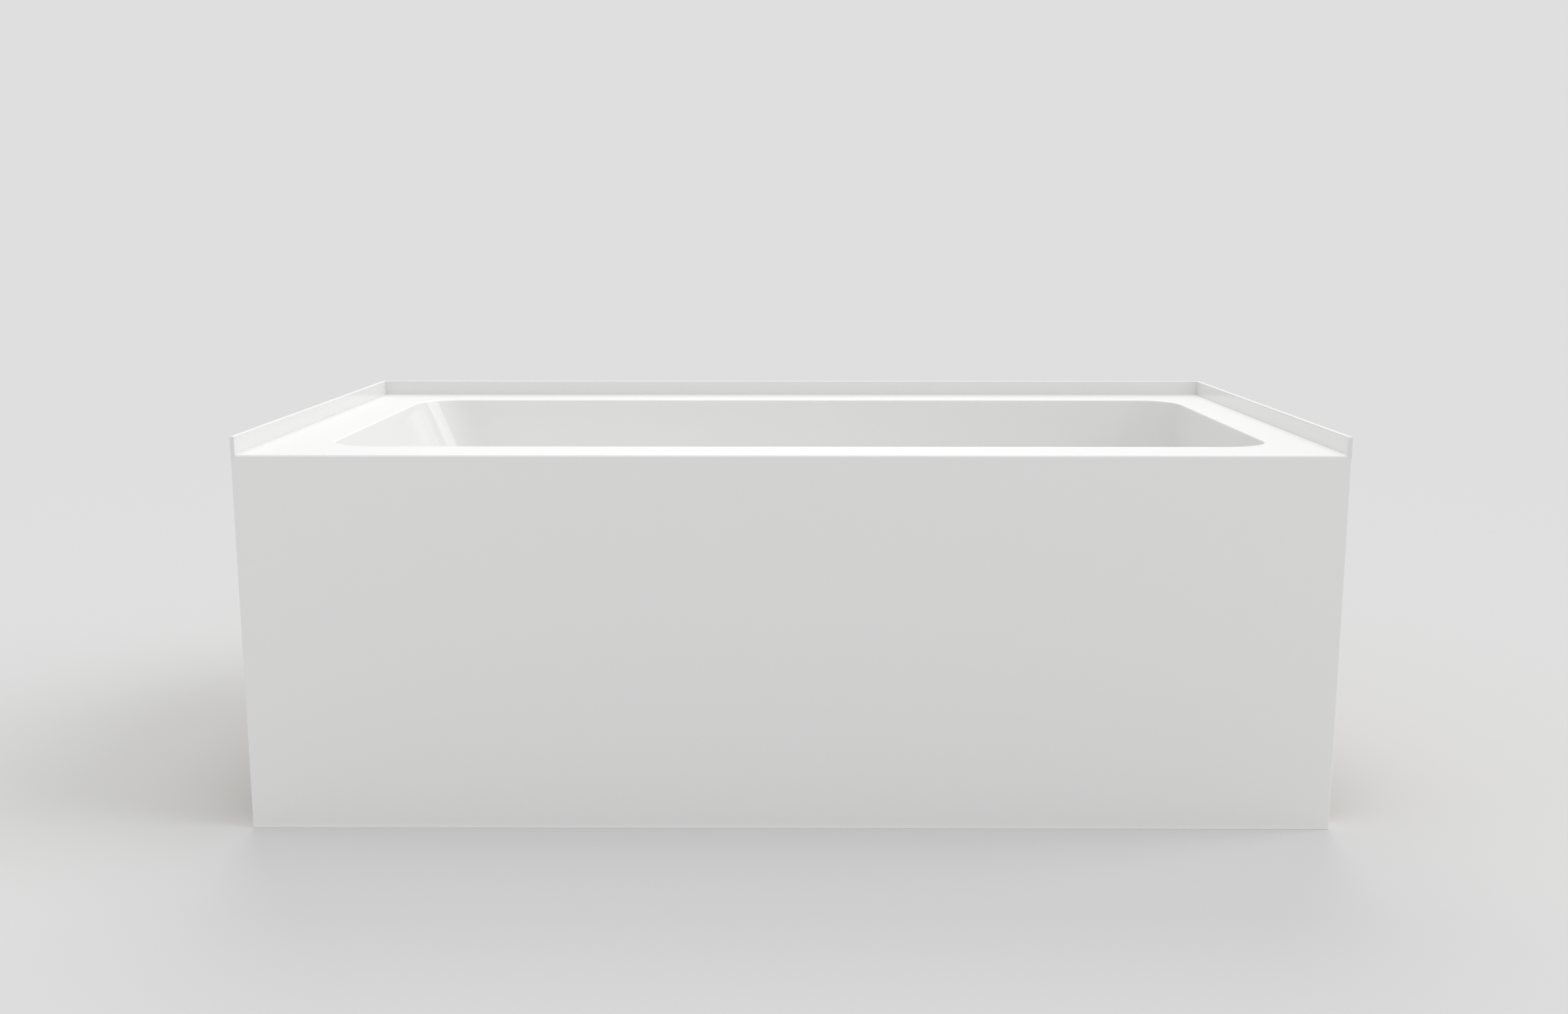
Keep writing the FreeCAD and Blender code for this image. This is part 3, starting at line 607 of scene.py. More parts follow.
def pointsPiece(name, places):
    obj = pieceFrom(name, [place for place, _ in places], [])
    attribute = obj.data.attributes.new("direction", "FLOAT_VECTOR", "POINT")
    for i, (_, direction) in enumerate(places):
        attribute.data[i].vector = direction
    return obj


# the levels of a cylinder's rows, bunched towards both ends
def bunched(z, half):
    share = z / half
    rest = 1.0 - abs(share)
    return share.do("SIGN") * (1.0 - rest * rest) * half


# The basin's form, shared by the skin and the backing

deckTop = boxOf("tub_shell")[1].z
drainMiddle = middleOf("drain_flange")
drainPlace = Vector((drainMiddle.x, drainMiddle.y, 0))
basin = {
    "rimLeft": -0.661, "rimRight": 0.6865, "rimFront": -0.318, "rimBack": 0.3075,
    "backrest": math.radians(24), "drainEnd": math.radians(6.5), "side": math.radians(6),
    "cornerRadius": 0.070, "floorRadius": 0.045, "rimRadius": 0.0035,
    "floorAtDrain": 0.112, "floorFall": 0.006,
    "recessRadius": 0.038, "recessSlope": 0.004, "recessDepth": 0.003, "drainHole": 0.025,
    "overflowDrop": 0.085, "overflowHole": 0.029,
    "skin": 0.004,
}
deckUnder, seatLevel = deckTop - basin["skin"], basin["floorAtDrain"] - basin["recessDepth"]


def basinWalls():
    b, d, s = basin["backrest"], basin["drainEnd"], basin["side"]
    walls = ((0, basin["rimFront"], (0, -math.cos(s), -math.sin(s))),
             (basin["rimRight"], 0, (math.cos(d), 0, -math.sin(d))),
             (0, basin["rimBack"], (0, math.cos(s), -math.sin(s))),
             (basin["rimLeft"], 0, (-math.cos(b), 0, -math.sin(b))))
    return [(Vector((x, y, deckTop)), Vector(outward).normalized()) for x, y, outward in walls]


# each corner is a cylinder that leans with its two walls
def basinCorners():
    corners, walls, radius = [], basinWalls(), basin["cornerRadius"]
    for i, (pointA, normalA) in enumerate(walls):
        pointB, normalB = walls[(i + 1) % 4]
        lean = normalA.cross(normalB).normalized()
        depthA, depthB = normalA.dot(pointA) - radius, normalB.dot(pointB) - radius
        crossing = depthA * normalB.cross(lean) + depthB * lean.cross(normalA)
        axis = crossing / normalA.dot(normalB.cross(lean))
        corners.append({"axis": axis, "lean": lean, "from": normalA, "to": normalB})
    return corners


floorPoint = Vector((drainMiddle.x, 0, basin["floorAtDrain"]))
floorNormal = Vector((-basin["floorFall"], 0, -1)).normalized()
corners = basinCorners()
endWallNormal = basinWalls()[1][1]
overflowMiddle = Vector((
    basin["rimRight"] - math.tan(basin["drainEnd"]) * basin["overflowDrop"],
    drainMiddle.y, deckTop - basin["overflowDrop"],
))


# where a corner's cylinder of some reach meets a plane, less a distance
def onCorner(corner, normal, reach, planePoint, planeNormal, distance=0.0):
    base = corner["axis"] + normal * reach
    gap = -distance - (base - planePoint).dot(planeNormal)
    return base + corner["lean"] * (gap / corner["lean"].dot(planeNormal))


# one row of points round the basin, straight runs divided into equal steps
def basinRow(toPoint, arcSteps, straightSteps):
    row = []
    for k, corner in enumerate(corners):
        turn = [corner["from"].slerp(corner["to"], step / arcSteps) for step in range(arcSteps + 1)]
        row += [toPoint(corner, normal) for normal in turn]
        last, following = row[-1], corners[(k + 1) % 4]
        ahead = toPoint(following, following["from"])
        row += [last.lerp(ahead, step / straightSteps[k]) for step in range(1, straightSteps[k])]
    return row


def wallRow(offset, height, *steps):
    level, reach = Vector((0, 0, height)), basin["cornerRadius"] + offset
    return basinRow(lambda c, n: onCorner(c, n, reach, level, up), *steps)


def rimRows(rows, *steps):
    radius = basin["rimRadius"]
    level, reach = Vector((0, 0, deckTop - radius)), basin["cornerRadius"] + radius
    return [basinRow(lambda c, n: onCorner(c, n, reach, level, up) + up.slerp(-n, i / rows) * radius, *steps)
            for i in range(rows + 1)]


def floorRows(offset, rows, *steps):
    radius = basin["floorRadius"]
    reach = basin["cornerRadius"] - radius
    return [basinRow(lambda c, n: onCorner(c, n, reach, floorPoint, floorNormal, radius)
                     + n.slerp(floorNormal, i / rows) * (radius + offset), *steps) for i in range(rows + 1)]


def circleRow(middle, direction, radius, steps, height=0.0):
    turn = facing(direction, middle)
    return [turn @ (way * radius + up * height) for way in circle(steps)]


def onFloor(point, offset):
    return point + up * ((offset - (point - floorPoint).dot(floorNormal)) / floorNormal.z)


# Tub skin: the deck and the basin, one formed sheet
tubSkin = {
    "arcSteps": 28, "rimSteps": 7, "floorSteps": 14, "holeSteps": 72, "nose": 0.0034, "recessEase": 0.0012,
}


def makeTubSkin():
    endFace, holeSteps = tubSkin["arcSteps"], tubSkin["holeSteps"]
    face = slice(endFace, endFace + 2)
    steps, skin = (tubSkin["arcSteps"], (1, 1, 1, 1)), basin["skin"]
    surface, rings = Surface(), []
    inside = surface.sheet(rimRows(tubSkin["rimSteps"], *steps))
    outside = surface.sheet([wallRow(skin, deckUnder, *steps)])

    # the overflow's hole is in the flat stretch of the drain end's wall, after the first corner
    for rows, offset in ((inside, 0), (outside, skin)):
        upper, lower = rows[-1], surface.sheet(floorRows(offset, tubSkin["floorSteps"], *steps))
        rows += lower
        surface.band(upper, lower[0], (endFace,))
        middle = overflowMiddle + endWallNormal * offset
        rings.append(surface.row(circleRow(middle, endWallNormal, basin["overflowHole"], holeSteps)))
        surface.fill(upper[face] + lower[0][face][::-1], rings[-1])
    surface.band(*rings)

    level, radius, hole = basin["floorAtDrain"], basin["recessRadius"], basin["drainHole"]
    ease, wide = tubSkin["recessEase"], radius + basin["recessSlope"]
    mouth, underMouth = ([onFloor(point, offset) for point in circleRow(drainPlace, up, reach, holeSteps)]
                         for reach, offset in ((wide + ease, 0), (wide + skin, skin)))
    recess = ((wide, level - 0.25 * ease), (wide - 0.6 * ease, level - 0.8 * ease),
              (radius + ease, seatLevel + 0.4 * ease), (radius - ease, seatLevel), (hole, seatLevel),
              (hole, seatLevel - skin), (radius + skin, seatLevel - skin))
    rows = [circleRow(drainPlace, up, reach, holeSteps, height) for reach, height in recess]
    rings = surface.sheet([mouth, *rows, underMouth])
    surface.fill(inside[-1], rings[0])
    surface.fill(outside[-1], rings[-1])

    low, high = boxOf("tub_shell")
    nose = roundedOutline([(low.y, deckUnder, 0), (low.y, deckTop, tubSkin["nose"]), (high.y, deckTop, 0),
                           (high.y, deckUnder, 0)], 6)
    top, last = len(nose) - 3, len(nose) - 1
    left, right = surface.sheet([[(x, p.x, p.y) for p in nose] for x in (low.x, high.x)], (top, last))
    surface.bm.faces.new(left)
    surface.bm.faces.new(right)
    surface.fill(left[top:last] + right[top:last][::-1], inside[0])
    surface.fill([left[last], left[0], right[0], right[last]], outside[0])
    finishPiece(shade(surface.piece("tubSkin"), 40), "acrylic", "tub_shell")


# Tile flange: three strips, each with a small bead of bonding where it meets the deck
flange = {
    "backEdge": 0.0014, "sideEdge": 0.0006, "lapEdge": 0.0005, "bead": 0.0008, "sunk": 0.0004, "beadSteps": 6,
    "mitre": 0.006,
}


def beadPiece(name, inner, turn, toPoint, start, finish):
    bead, base, steps = flange["bead"], deckTop - flange["sunk"], flange["beadSteps"]
    outline = [(inner - turn * flange["sunk"], base)]
    for step in range(steps + 1):
        angle = math.pi / 2 * step / steps
        outline.append((inner + turn * bead * (1 - math.cos(angle)), deckTop + bead * (1 - math.sin(angle))))
    outline.append((inner + turn * bead, base))
    return loft(name, [[toPoint(a, b, end) for a, b in outline] for end in (start, finish)])


def makeSideFlange(node, turn):
    low, high = boxOf(node)
    inner = high.x if turn > 0 else low.x
    board = boxOf("apron_board")[0].y

    def wanted(a, b):
        top = min(a.z, b.z) > deckUnder and min(a.y, b.y) < high.y - near
        return top or (abs(a.z - b.z) > near and a.y < low.y + near)

    strip = roundedBlock(node + "Strip", (low.x, low.y, deckUnder), high, flange["sideEdge"], 4, wanted)
    lap = roundedBlock(node + "Lap", (low.x, board, low.z), (high.x, high.y, deckUnder), flange["lapEdge"], 1)
    bead = beadPiece(node + "Bead", inner, turn, lambda a, b, t: (a, t, b), low.y + tubSkin["nose"], high.y)
    obj = shade(joined(node + "Flange", [strip, lap, bead]), 40)
    return finishPiece(obj, "acrylic", node, material=finishes["strip"])


def makeBackFlange():
    low, high = boxOf("tile_flange_back")
    edge, mitre = flange["backEdge"], flange["mitre"]
    strip = roundedBlock("backFlangeStrip", low, high, edge, 5, lambda a, b: min(a.z, b.z) > deckTop)
    bead = beadPiece("backFlangeBead", low.y, -1, lambda a, b, t: (t, a, b), low.x + mitre, high.x - mitre)
    obj = shade(joined("backFlange", [strip, bead]), 40)
    finishPiece(obj, "acrylic", "tile_flange_back", material=finishes["strip"])


# Apron: a flat sheet with its ends and its lower edge folded back
apron = {"edge": 0.0009}


def makeApron():
    top = boxOf("apron_panel")[1].z - near
    obj = easedCopy("apron_panel", apron["edge"], 2, lambda a, b: min(a.z, b.z) < top)
    finishPiece(obj, "acrylic", "apron_panel")


# Backing: resin and chopped glass, sprayed and rolled, so its outside is uneven
backing = {
    "offset": 0.007, "inside": 0.0043, "arcSteps": 12, "straight": (40, 110, 40, 110),
    "deckRows": 8, "wallRows": 34, "filletRows": 7, "floorRows": 14, "lumps": 0.0010, "lumpScale": 55,
    "cut": 0.03,
}


def onSide(point, side, height):
    point, (axis, value) = point.copy(), side
    point[axis], point.z = value, height
    return point


# a rectangle's row with as many points as the basin's, paired with them
def squareRow(row, low, high, height):
    points, start, arcSteps = [], 0, backing["arcSteps"]
    sides = [(1, low.y), (0, high.x), (1, high.y), (0, low.x)]
    for k, side in enumerate(sides):
        end, following = start + arcSteps + backing["straight"][k], sides[(k + 1) % 4]
        straight = [onSide(point, following, height) for point in row[start + arcSteps:end]]
        first = onSide(row[start], side, height)
        corner = onSide(first, following, height)
        for share in (2 * step / arcSteps for step in range(arcSteps)):
            points.append(first.lerp(corner, share) if share <= 1 else corner.lerp(straight[0], share - 1))
        points += straight
        start = end
    return points


def floorCircle(row, radius, height):
    flat = [Vector((point.x - drainPlace.x, point.y - drainPlace.y, 0)) for point in row]
    return [drainPlace + away.normalized() * radius + up * height for away in flat]


# rows between two others, from the first up to but not with the last
def between(first, last, count, start=0):
    return [[a.lerp(b, step / count) for a, b in zip(first, last)] for step in range(start, count)]


def makeBacking():
    low, high = boxOf("fibreglass_backing")
    steps, offset, thin = (backing["arcSteps"], backing["straight"]), backing["offset"], backing["inside"]
    radius, hole, slope = basin["recessRadius"], basin["drainHole"], basin["recessSlope"]
    surface, placed = Surface(), []
    wallTop = wallRow(offset, deckTop - offset, *steps)
    fillet = floorRows(offset, backing["filletRows"], *steps)
    edge = [onFloor(point, offset) for point in floorCircle(fillet[-1], radius + slope + offset, 0)]
    rows = between(squareRow(wallTop, low, high, deckTop - offset), wallTop, backing["deckRows"])
    rows += between(wallTop, fillet[0], backing["wallRows"]) + fillet
    rows += between(fillet[-1], edge, backing["floorRows"], 1) + [edge]
    rows += [floorCircle(edge, reach, seatLevel - offset) for reach in (radius + offset, hole)]
    calm, last = (0, len(rows) - 2, len(rows) - 1), len(rows) - 1
    for i, row in enumerate(rows):
        following, before = rows[min(i + 1, last)], rows[max(i - 1, 0)]
        placed.append([])
        for k, point in enumerate(row):
            side = row[(k + 1) % len(row)] - row[k - 1]
            normal = side.cross(following[k] - before[k]).normalized()
            lump = noise.fractal(point * backing["lumpScale"], 0.8, 2.2, 3) * backing["lumps"]
            placed[i].append(point if i in calm else point - normal * lump)
    outside = surface.sheet(placed)

    rows = [squareRow(wallTop, low, high, deckUnder), wallRow(thin, deckUnder, *steps)]
    rows += floorRows(thin, backing["filletRows"], *steps)
    rows.append([onFloor(p, thin) for p in floorCircle(rows[-1], radius + thin + slope, 0)])
    rows += [floorCircle(rows[-1], reach, seatLevel - thin) for reach in (radius + thin, hole)]
    inside = surface.sheet(rows)
    surface.band(outside[0], inside[0])
    surface.band(outside[-1], inside[-1])
    tool = turnedRing("overflowHole", 0, basin["overflowHole"], -backing["cut"], backing["cut"], steps=64)
    obj = cutAway(surface.piece("backing"), moved(tool, facing(endWallNormal, overflowMiddle)))
    finishPiece(shade(obj, 60), "fibreglass", "fibreglass_backing")


# Timber and boards
timber = {
    "edge": 0.0022, "boardEdge": 0.0008, "pale": (0.66, 0.49, 0.30), "dark": (0.47, 0.29, 0.14),
    "shift": (0.31, 0.17, 0.07),
}


def makeTimber():
    sides = ["rim_batten_" + side for side in ("front", "back", "left", "right")]
    for number, node in enumerate(["apron_sill", "apron_posts"] + sides):
        spans = spansOf(node)
        pieces = [roundedBlock(node + "Length", *span, timber["edge"]) for span in spans]
        size = spans[0][1] - spans[0][0]
        turn = {size.x: (0, 90, 0), size.y: (90, 0, 0), size.z: (0, 0, 0)}[max(size)]
        shift = tuple(number * value for value in timber["shift"])
        pine = wood(node + "Pine", timber["pale"], timber["dark"], turn, shift)
        finishPiece(shade(joined(node + "Timber", pieces)), "timber", node, material=pine)
    for node, axis in (("floor_board", "Z"), ("apron_board", "Y")):
        obj = easedCopy(node, timber["boardEdge"], 1)
        finishPiece(obj, "plywood", node, material=plywood(node + "Plywood", axis))


# Steel cradle
cradle = {"corner": 0.0022, "tabEdge": 0.0006, "capEdge": 0.0009, "longEdge": 0.05, "weldSunk": 0.0004}
crossRails = ["cross_rail_" + side for side in ("left", "middle", "right")]
longRails = ["long_rail_front", "long_rail_back"]


def makeRails():
    for node in crossRails + longRails:
        low, high = boxOf(node)
        axis = 0 if node in longRails else 1
        others = [other for other in range(3) if other != axis]

        def wanted(a, b):
            long = abs(a[axis] - b[axis]) > cradle["longEdge"]
            return long and all(min(abs(a[o] - low[o]), abs(a[o] - high[o])) < near for o in others)

        finishPiece(easedCopy(node, cradle["corner"], 4, wanted), "zinc_steel", node)
    for node in ("board_tabs", "apron_cleats"):
        finishPiece(easedCopy(node, cradle["tabEdge"]), "zinc_steel", node)
    finishPiece(easedCopy("rail_end_caps", cradle["capEdge"], 3), "black_plastic", "rail_end_caps")


# Weld beads along the cradle's seams
weld = {"Size": 0.0021, "Step": 0.0024, "Seed": 7}


def weldTree():
    tree = Tree("weldBeads", weld)
    size, step, seed, seams = tree.given(*weld, "Geometry")
    lines = tree.add("GeometryNodeMeshToCurve", {"Mesh": seams})
    steps = tree.add("GeometryNodeCurveToPoints", {"Curve": lines, "Length": step}, "Points", mode="LENGTH")
    bead = tree.add("GeometryNodeMeshUVSphere", {"Segments": 8, "Rings": 5, "Radius": size})
    scale = tree.add("FunctionNodeRandomValue", {2: 0.8, 3: 1.1, "Seed": seed}, 1)
    return tree.close(tree.add("GeometryNodeInstanceOnPoints", {
        "Points": steps, "Instance": bead, "Rotation": steps.beside("Rotation"),
        "Scale": tree.point(scale, scale, scale * 0.75)}))


def weldSeams():
    bottom, top = (corner.z for corner in boxOf("cross_rail_left"))
    inset = cradle["corner"]
    for node in longRails:
        for low, high in spansOf(node):
            for x in (low.x, high.x):
                for y in (low.y, high.y):
                    yield (x, y, bottom + inset), (x, y, top - inset)
                yield (x, low.y + inset, bottom), (x, high.y - inset, bottom)
    for low, high in spansOf("board_tabs"):
        x = low.x if any(abs(low.x - boxOf(rail)[1].x) < near for rail in crossRails) else high.x
        yield (x, low.y + inset, low.z), (x, high.y - inset, low.z)
    for low, high in spansOf("foot_weld_nuts"):
        middle = Vector(((low.x + high.x) / 2, (low.y + high.y) / 2, high.z - cradle["weldSunk"]))
        ring = [middle + way * ((high.y - low.y) / 2) for way in circle(24)]
        yield from zip(ring, ring[1:] + ring[:1])


def makeWelds():
    points = [point for seam in weldSeams() for point in seam]
    lines = pieceFrom("weldBeads", points, [], [(i, i + 1) for i in range(0, len(points), 2)])
    obj = shade(weldTree().applyTo(lines, finishes["weld"]))
    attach(obj, "tub")


# Screws: a low pan head with a cross recess, one on each point
screws = {"HeadRadius": 0.0045, "HeadHeight": 0.003, "ShankRadius": 0.0025, "Length": 0.011, "Seed": 4}


def screwTree():
    tree = Tree("panHeadScrews", screws)
    radius, height, shank, length, seed = tree.given(*screws)
    head = tree.cylinder(40, 1, radius, height, 6, "TRIANGLE_FAN")
    x, y, z = tree.position()
    reach = (x * x + y * y).do("SQRT") / radius
    sag = reach.do("POWER", 4.0) * (height * -0.45) * z.do("GREATER_THAN", 0.0)
    head = tree.add("GeometryNodeSetPosition", {"Geometry": head, "Offset": tree.point(0.0, 0.0, sag)})
    long, narrow = radius * 1.1, radius * 0.24   # the recess's two arms
    arms = [tree.raised(tree.add("GeometryNodeMeshCube", {"Size": tree.point(*size, height)}), height * 0.42)
            for size in ((narrow, long), (long, narrow))]
    head = tree.raised(tree.cut(head, *arms), height * 0.5)
    body = tree.raised(tree.cylinder(24, 1, shank, length), length * -0.5)
    spin = tree.add("FunctionNodeRandomValue", {2: 0.0, 3: 6.28, "Seed": seed}, 1)
    return tree.close(tree.onPoints(tree.add("GeometryNodeJoinGeometry", {"Geometry": [head, body]}), spin))


# where each screw's head lies, from the middle of its outer face
def screwPlaces(node, directionOf):
    for solid in solidsOf(node):
        low, high = spanOf(solid)
        direction = directionOf(high - low)
        top = max(point.dot(direction) for point in solid)
        face = [point for point in solid if point.dot(direction) > top - near]
        yield sum(face, Vector()) / len(face) - direction * screws["HeadHeight"], direction


def makeScrews():
    tree = screwTree()
    for node, slot, directionOf, length, seed in (
            ("board_screws", "zinc_steel", lambda size: down, 0.0108, 4),
            ("cleat_screws", "zinc_steel", lambda size: up if size.z > size.y else across, 0.0068, 9),
            ("overflow_screws", "chrome", lambda size: -endWallNormal, 0.0338, 2)):
        points = pointsPiece(node + "Heads", list(screwPlaces(node, directionOf)))
        obj = tree.applyTo(points, finishes[slot], Length=length, Seed=seed)
        finishPiece(shade(obj, 40), slot, node)


# Hexagon nuts with chamfered corners
nuts = {"Flats": 0.019, "Height": 0.010, "Bore": 0.0061, "Chamfer": 0.035}


# a hexagon's distance from its middle, cut back by the chamfer towards both ends
def nutTree():
    tree = Tree("hexagonNuts", nuts)
    flats, height, bore, chamfer = tree.given(*nuts)
    block = tree.cylinder(72, 8, flats, height)
    x, y, z = tree.position()
    angle = y.do("ARCTAN2", x).do("WRAP", math.radians(60), 0.0) - math.radians(30)
    half, level = height * 0.5, bunched(z, height * 0.5)
    flat = flats * 0.5 / angle.do("COSINE")
    cone = flats * 0.5 * (1.0 - chamfer) + (half - abs(level)) * 1.73   # 30 degrees from flat
    block = tree.reshape(block, flat.do("MINIMUM", cone), level)
    nut = tree.cut(block, tree.cylinder(48, 1, bore, height * 1.5))
    return tree.close(tree.onPoints(tree.raised(nut, half)))


def makeNuts():
    tree = nutTree()
    for node in ("foot_weld_nuts", "foot_lock_nuts"):
        spans = spansOf(node)
        places = [(Vector(((low.x + high.x) / 2, (low.y + high.y) / 2, low.z)), up) for low, high in spans]
        height = spans[0][1].z - spans[0][0].z
        obj = tree.applyTo(pointsPiece(node + "Hex", places), finishes["zinc_steel"], Height=height)
        finishPiece(shade(obj, 40), "zinc_steel", node)
    return tree


# Levelling feet: a threaded stud with a hexagon collar, turning in a moulded pad
thread = {"Radius": 0.006, "Pitch": 0.00175, "Depth": 0.0009, "Length": 0.069, "Turns": 40, "RingsPerTurn": 6}
foot = {
    "pad": 0.025, "disc": 0.006, "padHeight": 0.014, "boss": 0.013, "socketFloor": 0.005, "hollow": 0.0008,
    "rim": 0.004, "rimSlope": 0.0005, "shoulder": 0.55, "bossSlope": 0.001, "lead": 0.0008,
    "collarHeight": 0.006, "neck": 0.0059, "overlap": 0.001,
}


def threadTree():
    tree = Tree("studThread", thread)
    radius, pitch, depth, length, turns, rings = tree.given(*thread)
    rod = tree.cylinder(24, turns * rings, radius, length)
    x, y, z = tree.position()
    wave = (z / pitch - y.do("ARCTAN2", x) / math.tau).do("PINGPONG", 0.5) * 2.0
    tapered = radius - depth + (length * 0.5 - abs(z))
    rod = tree.reshape(rod, (radius - wave * depth).do("MINIMUM", tapered), z)
    return tree.close(tree.onPoints(tree.raised(rod, length * 0.5)))


def makeFeet(nutShape):
    shape, steel = threadTree(), finishes["zinc_steel"]
    radius, boss, neck, overlap = foot["pad"], foot["boss"], foot["neck"], foot["overlap"]
    socket, rim, slope, lead = thread["Radius"], foot["rim"], foot["bossSlope"], foot["lead"]
    disc, height, hollow, socketFloor = foot["disc"], foot["padHeight"], foot["hollow"], foot["socketFloor"]
    for number in range(1, 5):
        stud, pad = f"foot_{number}_stud", f"foot_{number}_pad"
        low, high = boxOf(stud)
        middle = Vector(((low.x + high.x) / 2, (low.y + high.y) / 2, 0))
        collar = middle + up * height
        base = collar + up * foot["collarHeight"]
        rod = shape.applyTo(pointsPiece(stud + "Thread", [(base, up)]), steel, Length=high.z - base.z)
        hexagon = nutShape.applyTo(pointsPiece(stud + "Collar", [(collar, up)]), steel,
                                   Height=foot["collarHeight"], Bore=socket - thread["Depth"] - overlap / 2)
        pin = turnedRing(stud + "Neck", 0, neck, low.z, height + overlap, (0, 0.0006, 0, 0), 48, 5)
        obj = joined(stud + "Threaded", [rod, hexagon, moved(pin, Matrix.Translation(middle))])
        finishPiece(shade(obj, 35), "zinc_steel", stud)

        outline = [(0, hollow, 0), (radius - rim, hollow, 0.0005),
                   (radius - rim + foot["rimSlope"], 0, 0.0005), (radius, 0, 0.0008),
                   (radius, disc * foot["shoulder"], 0.0015), (radius - rim, disc, 0.0015),
                   (boss + slope, disc, 0.0015), (boss, height, 0.001), (socket + lead, height, 0.0003),
                   (socket, height - lead, 0.0003), (socket, socketFloor, 0), (0, socketFloor, 0)]
        standPiece(lathe(pad + "Moulding", outline), "black_plastic", pad, middle)


# Drain: flange with a threaded body and crossbars, on a rubber gasket
drain = {
    "flange": 0.035, "height": 0.0025, "body": 0.0235, "bore": 0.019, "lip": 0.00125,
    "barTop": 0.028, "barHeight": 0.005, "barWidth": 0.005, "hub": 0.008, "hole": 0.0041,
    "threads": 14, "pitch": 0.0015, "threadStart": 0.0012, "threadDepth": 0.0004,
    "threadRelief": 0.0006, "slope": 0.004, "mouth": 0.0025,
    "edge": 0.0005, "step": 0.0003, "barSunk": 0.0006,
    "gasket": 0.033, "gasketBore": 0.024,
}


# stands a turned piece upright on a place
def standPiece(obj, slot, node, place=drainPlace, limit=35):
    finishPiece(shade(moved(obj, Matrix.Translation(place)), limit), slot, node)


def makeDrain():
    low, high = boxOf("drain_flange")
    top, seat, wide, lip = high.z, high.z - drain["height"], drain["flange"], drain["lip"]
    body, bore, pitch, start = drain["body"], drain["bore"], drain["pitch"], low.z + drain["threadStart"]
    outline = [(bore, low.z, 0.0004), (body - drain["threadRelief"], low.z, 0.0004)]
    for turn in range(drain["threads"]):
        level = start + turn * pitch
        outline += [(body, level, 0), (body - drain["threadDepth"], level + pitch / 2, 0)]
    outline += [(body, start + drain["threads"] * pitch, 0), (body, seat, 0.0005), (wide, seat, 0.0002),
                (wide, seat + lip / 2, 0.0005), (wide - drain["slope"], top, 0.003),
                (bore + drain["mouth"], top, 0.0015), (bore, top - lip, 0.0012)]
    barTop, half, reach = top - drain["barTop"], drain["barWidth"] / 2, bore + drain["barSunk"]
    bottom, hub, hole = barTop - drain["barHeight"], drain["hub"], drain["hole"]
    low, high = bottom + drain["step"], barTop - drain["step"]
    pieces = [lathe("drainRing", outline, 128, 6),
              roundedBlock("drainBarX", (-reach, -half, low), (reach, half, high), drain["edge"]),
              roundedBlock("drainBarY", (-half, -reach, low), (half, reach, high), drain["edge"]),
              turnedRing("drainHub", hole, hub, bottom, barTop, (0.0003, 0.0005, 0.0005, 0.0003), 64, 5)]
    standPiece(joined("drainFlange", pieces), "chrome", "drain_flange")

    low, high = boxOf("drain_gasket")
    gasket = turnedRing("drainGasket", drain["gasketBore"], drain["gasket"], low.z, high.z,
                        (0.0008, 0.0012, 0.0004, 0.0004), 96, 5)
    standPiece(gasket, "rubber", "drain_gasket", limit=50)


# Stopper: a domed cap on a sliding barrel, with a seal under it and a coil inside
stopper = {
    "cap": 0.026, "capEdge": 0.003, "dome": 0.002, "domeInset": 0.0009, "domeSteps": 14,
    "barrel": 0.009, "barrelBore": 0.0049, "grooves": (0.4, 0.55), "groove": 0.0007,
    "grooveRise": (0, 0.0004, 0.0014, 0.0018), "grooveEdge": 0.0002, "post": 0.0048, "postThread": 0.004,
    "seal": 0.024, "sealBore": 0.0093, "sealRim": 0.003, "sealLift": 0.0006,
    "coil": 0.0034, "coilSteps": 24, "wire": 0.0004, "wireShare": 0.98, "turns": 5,
}


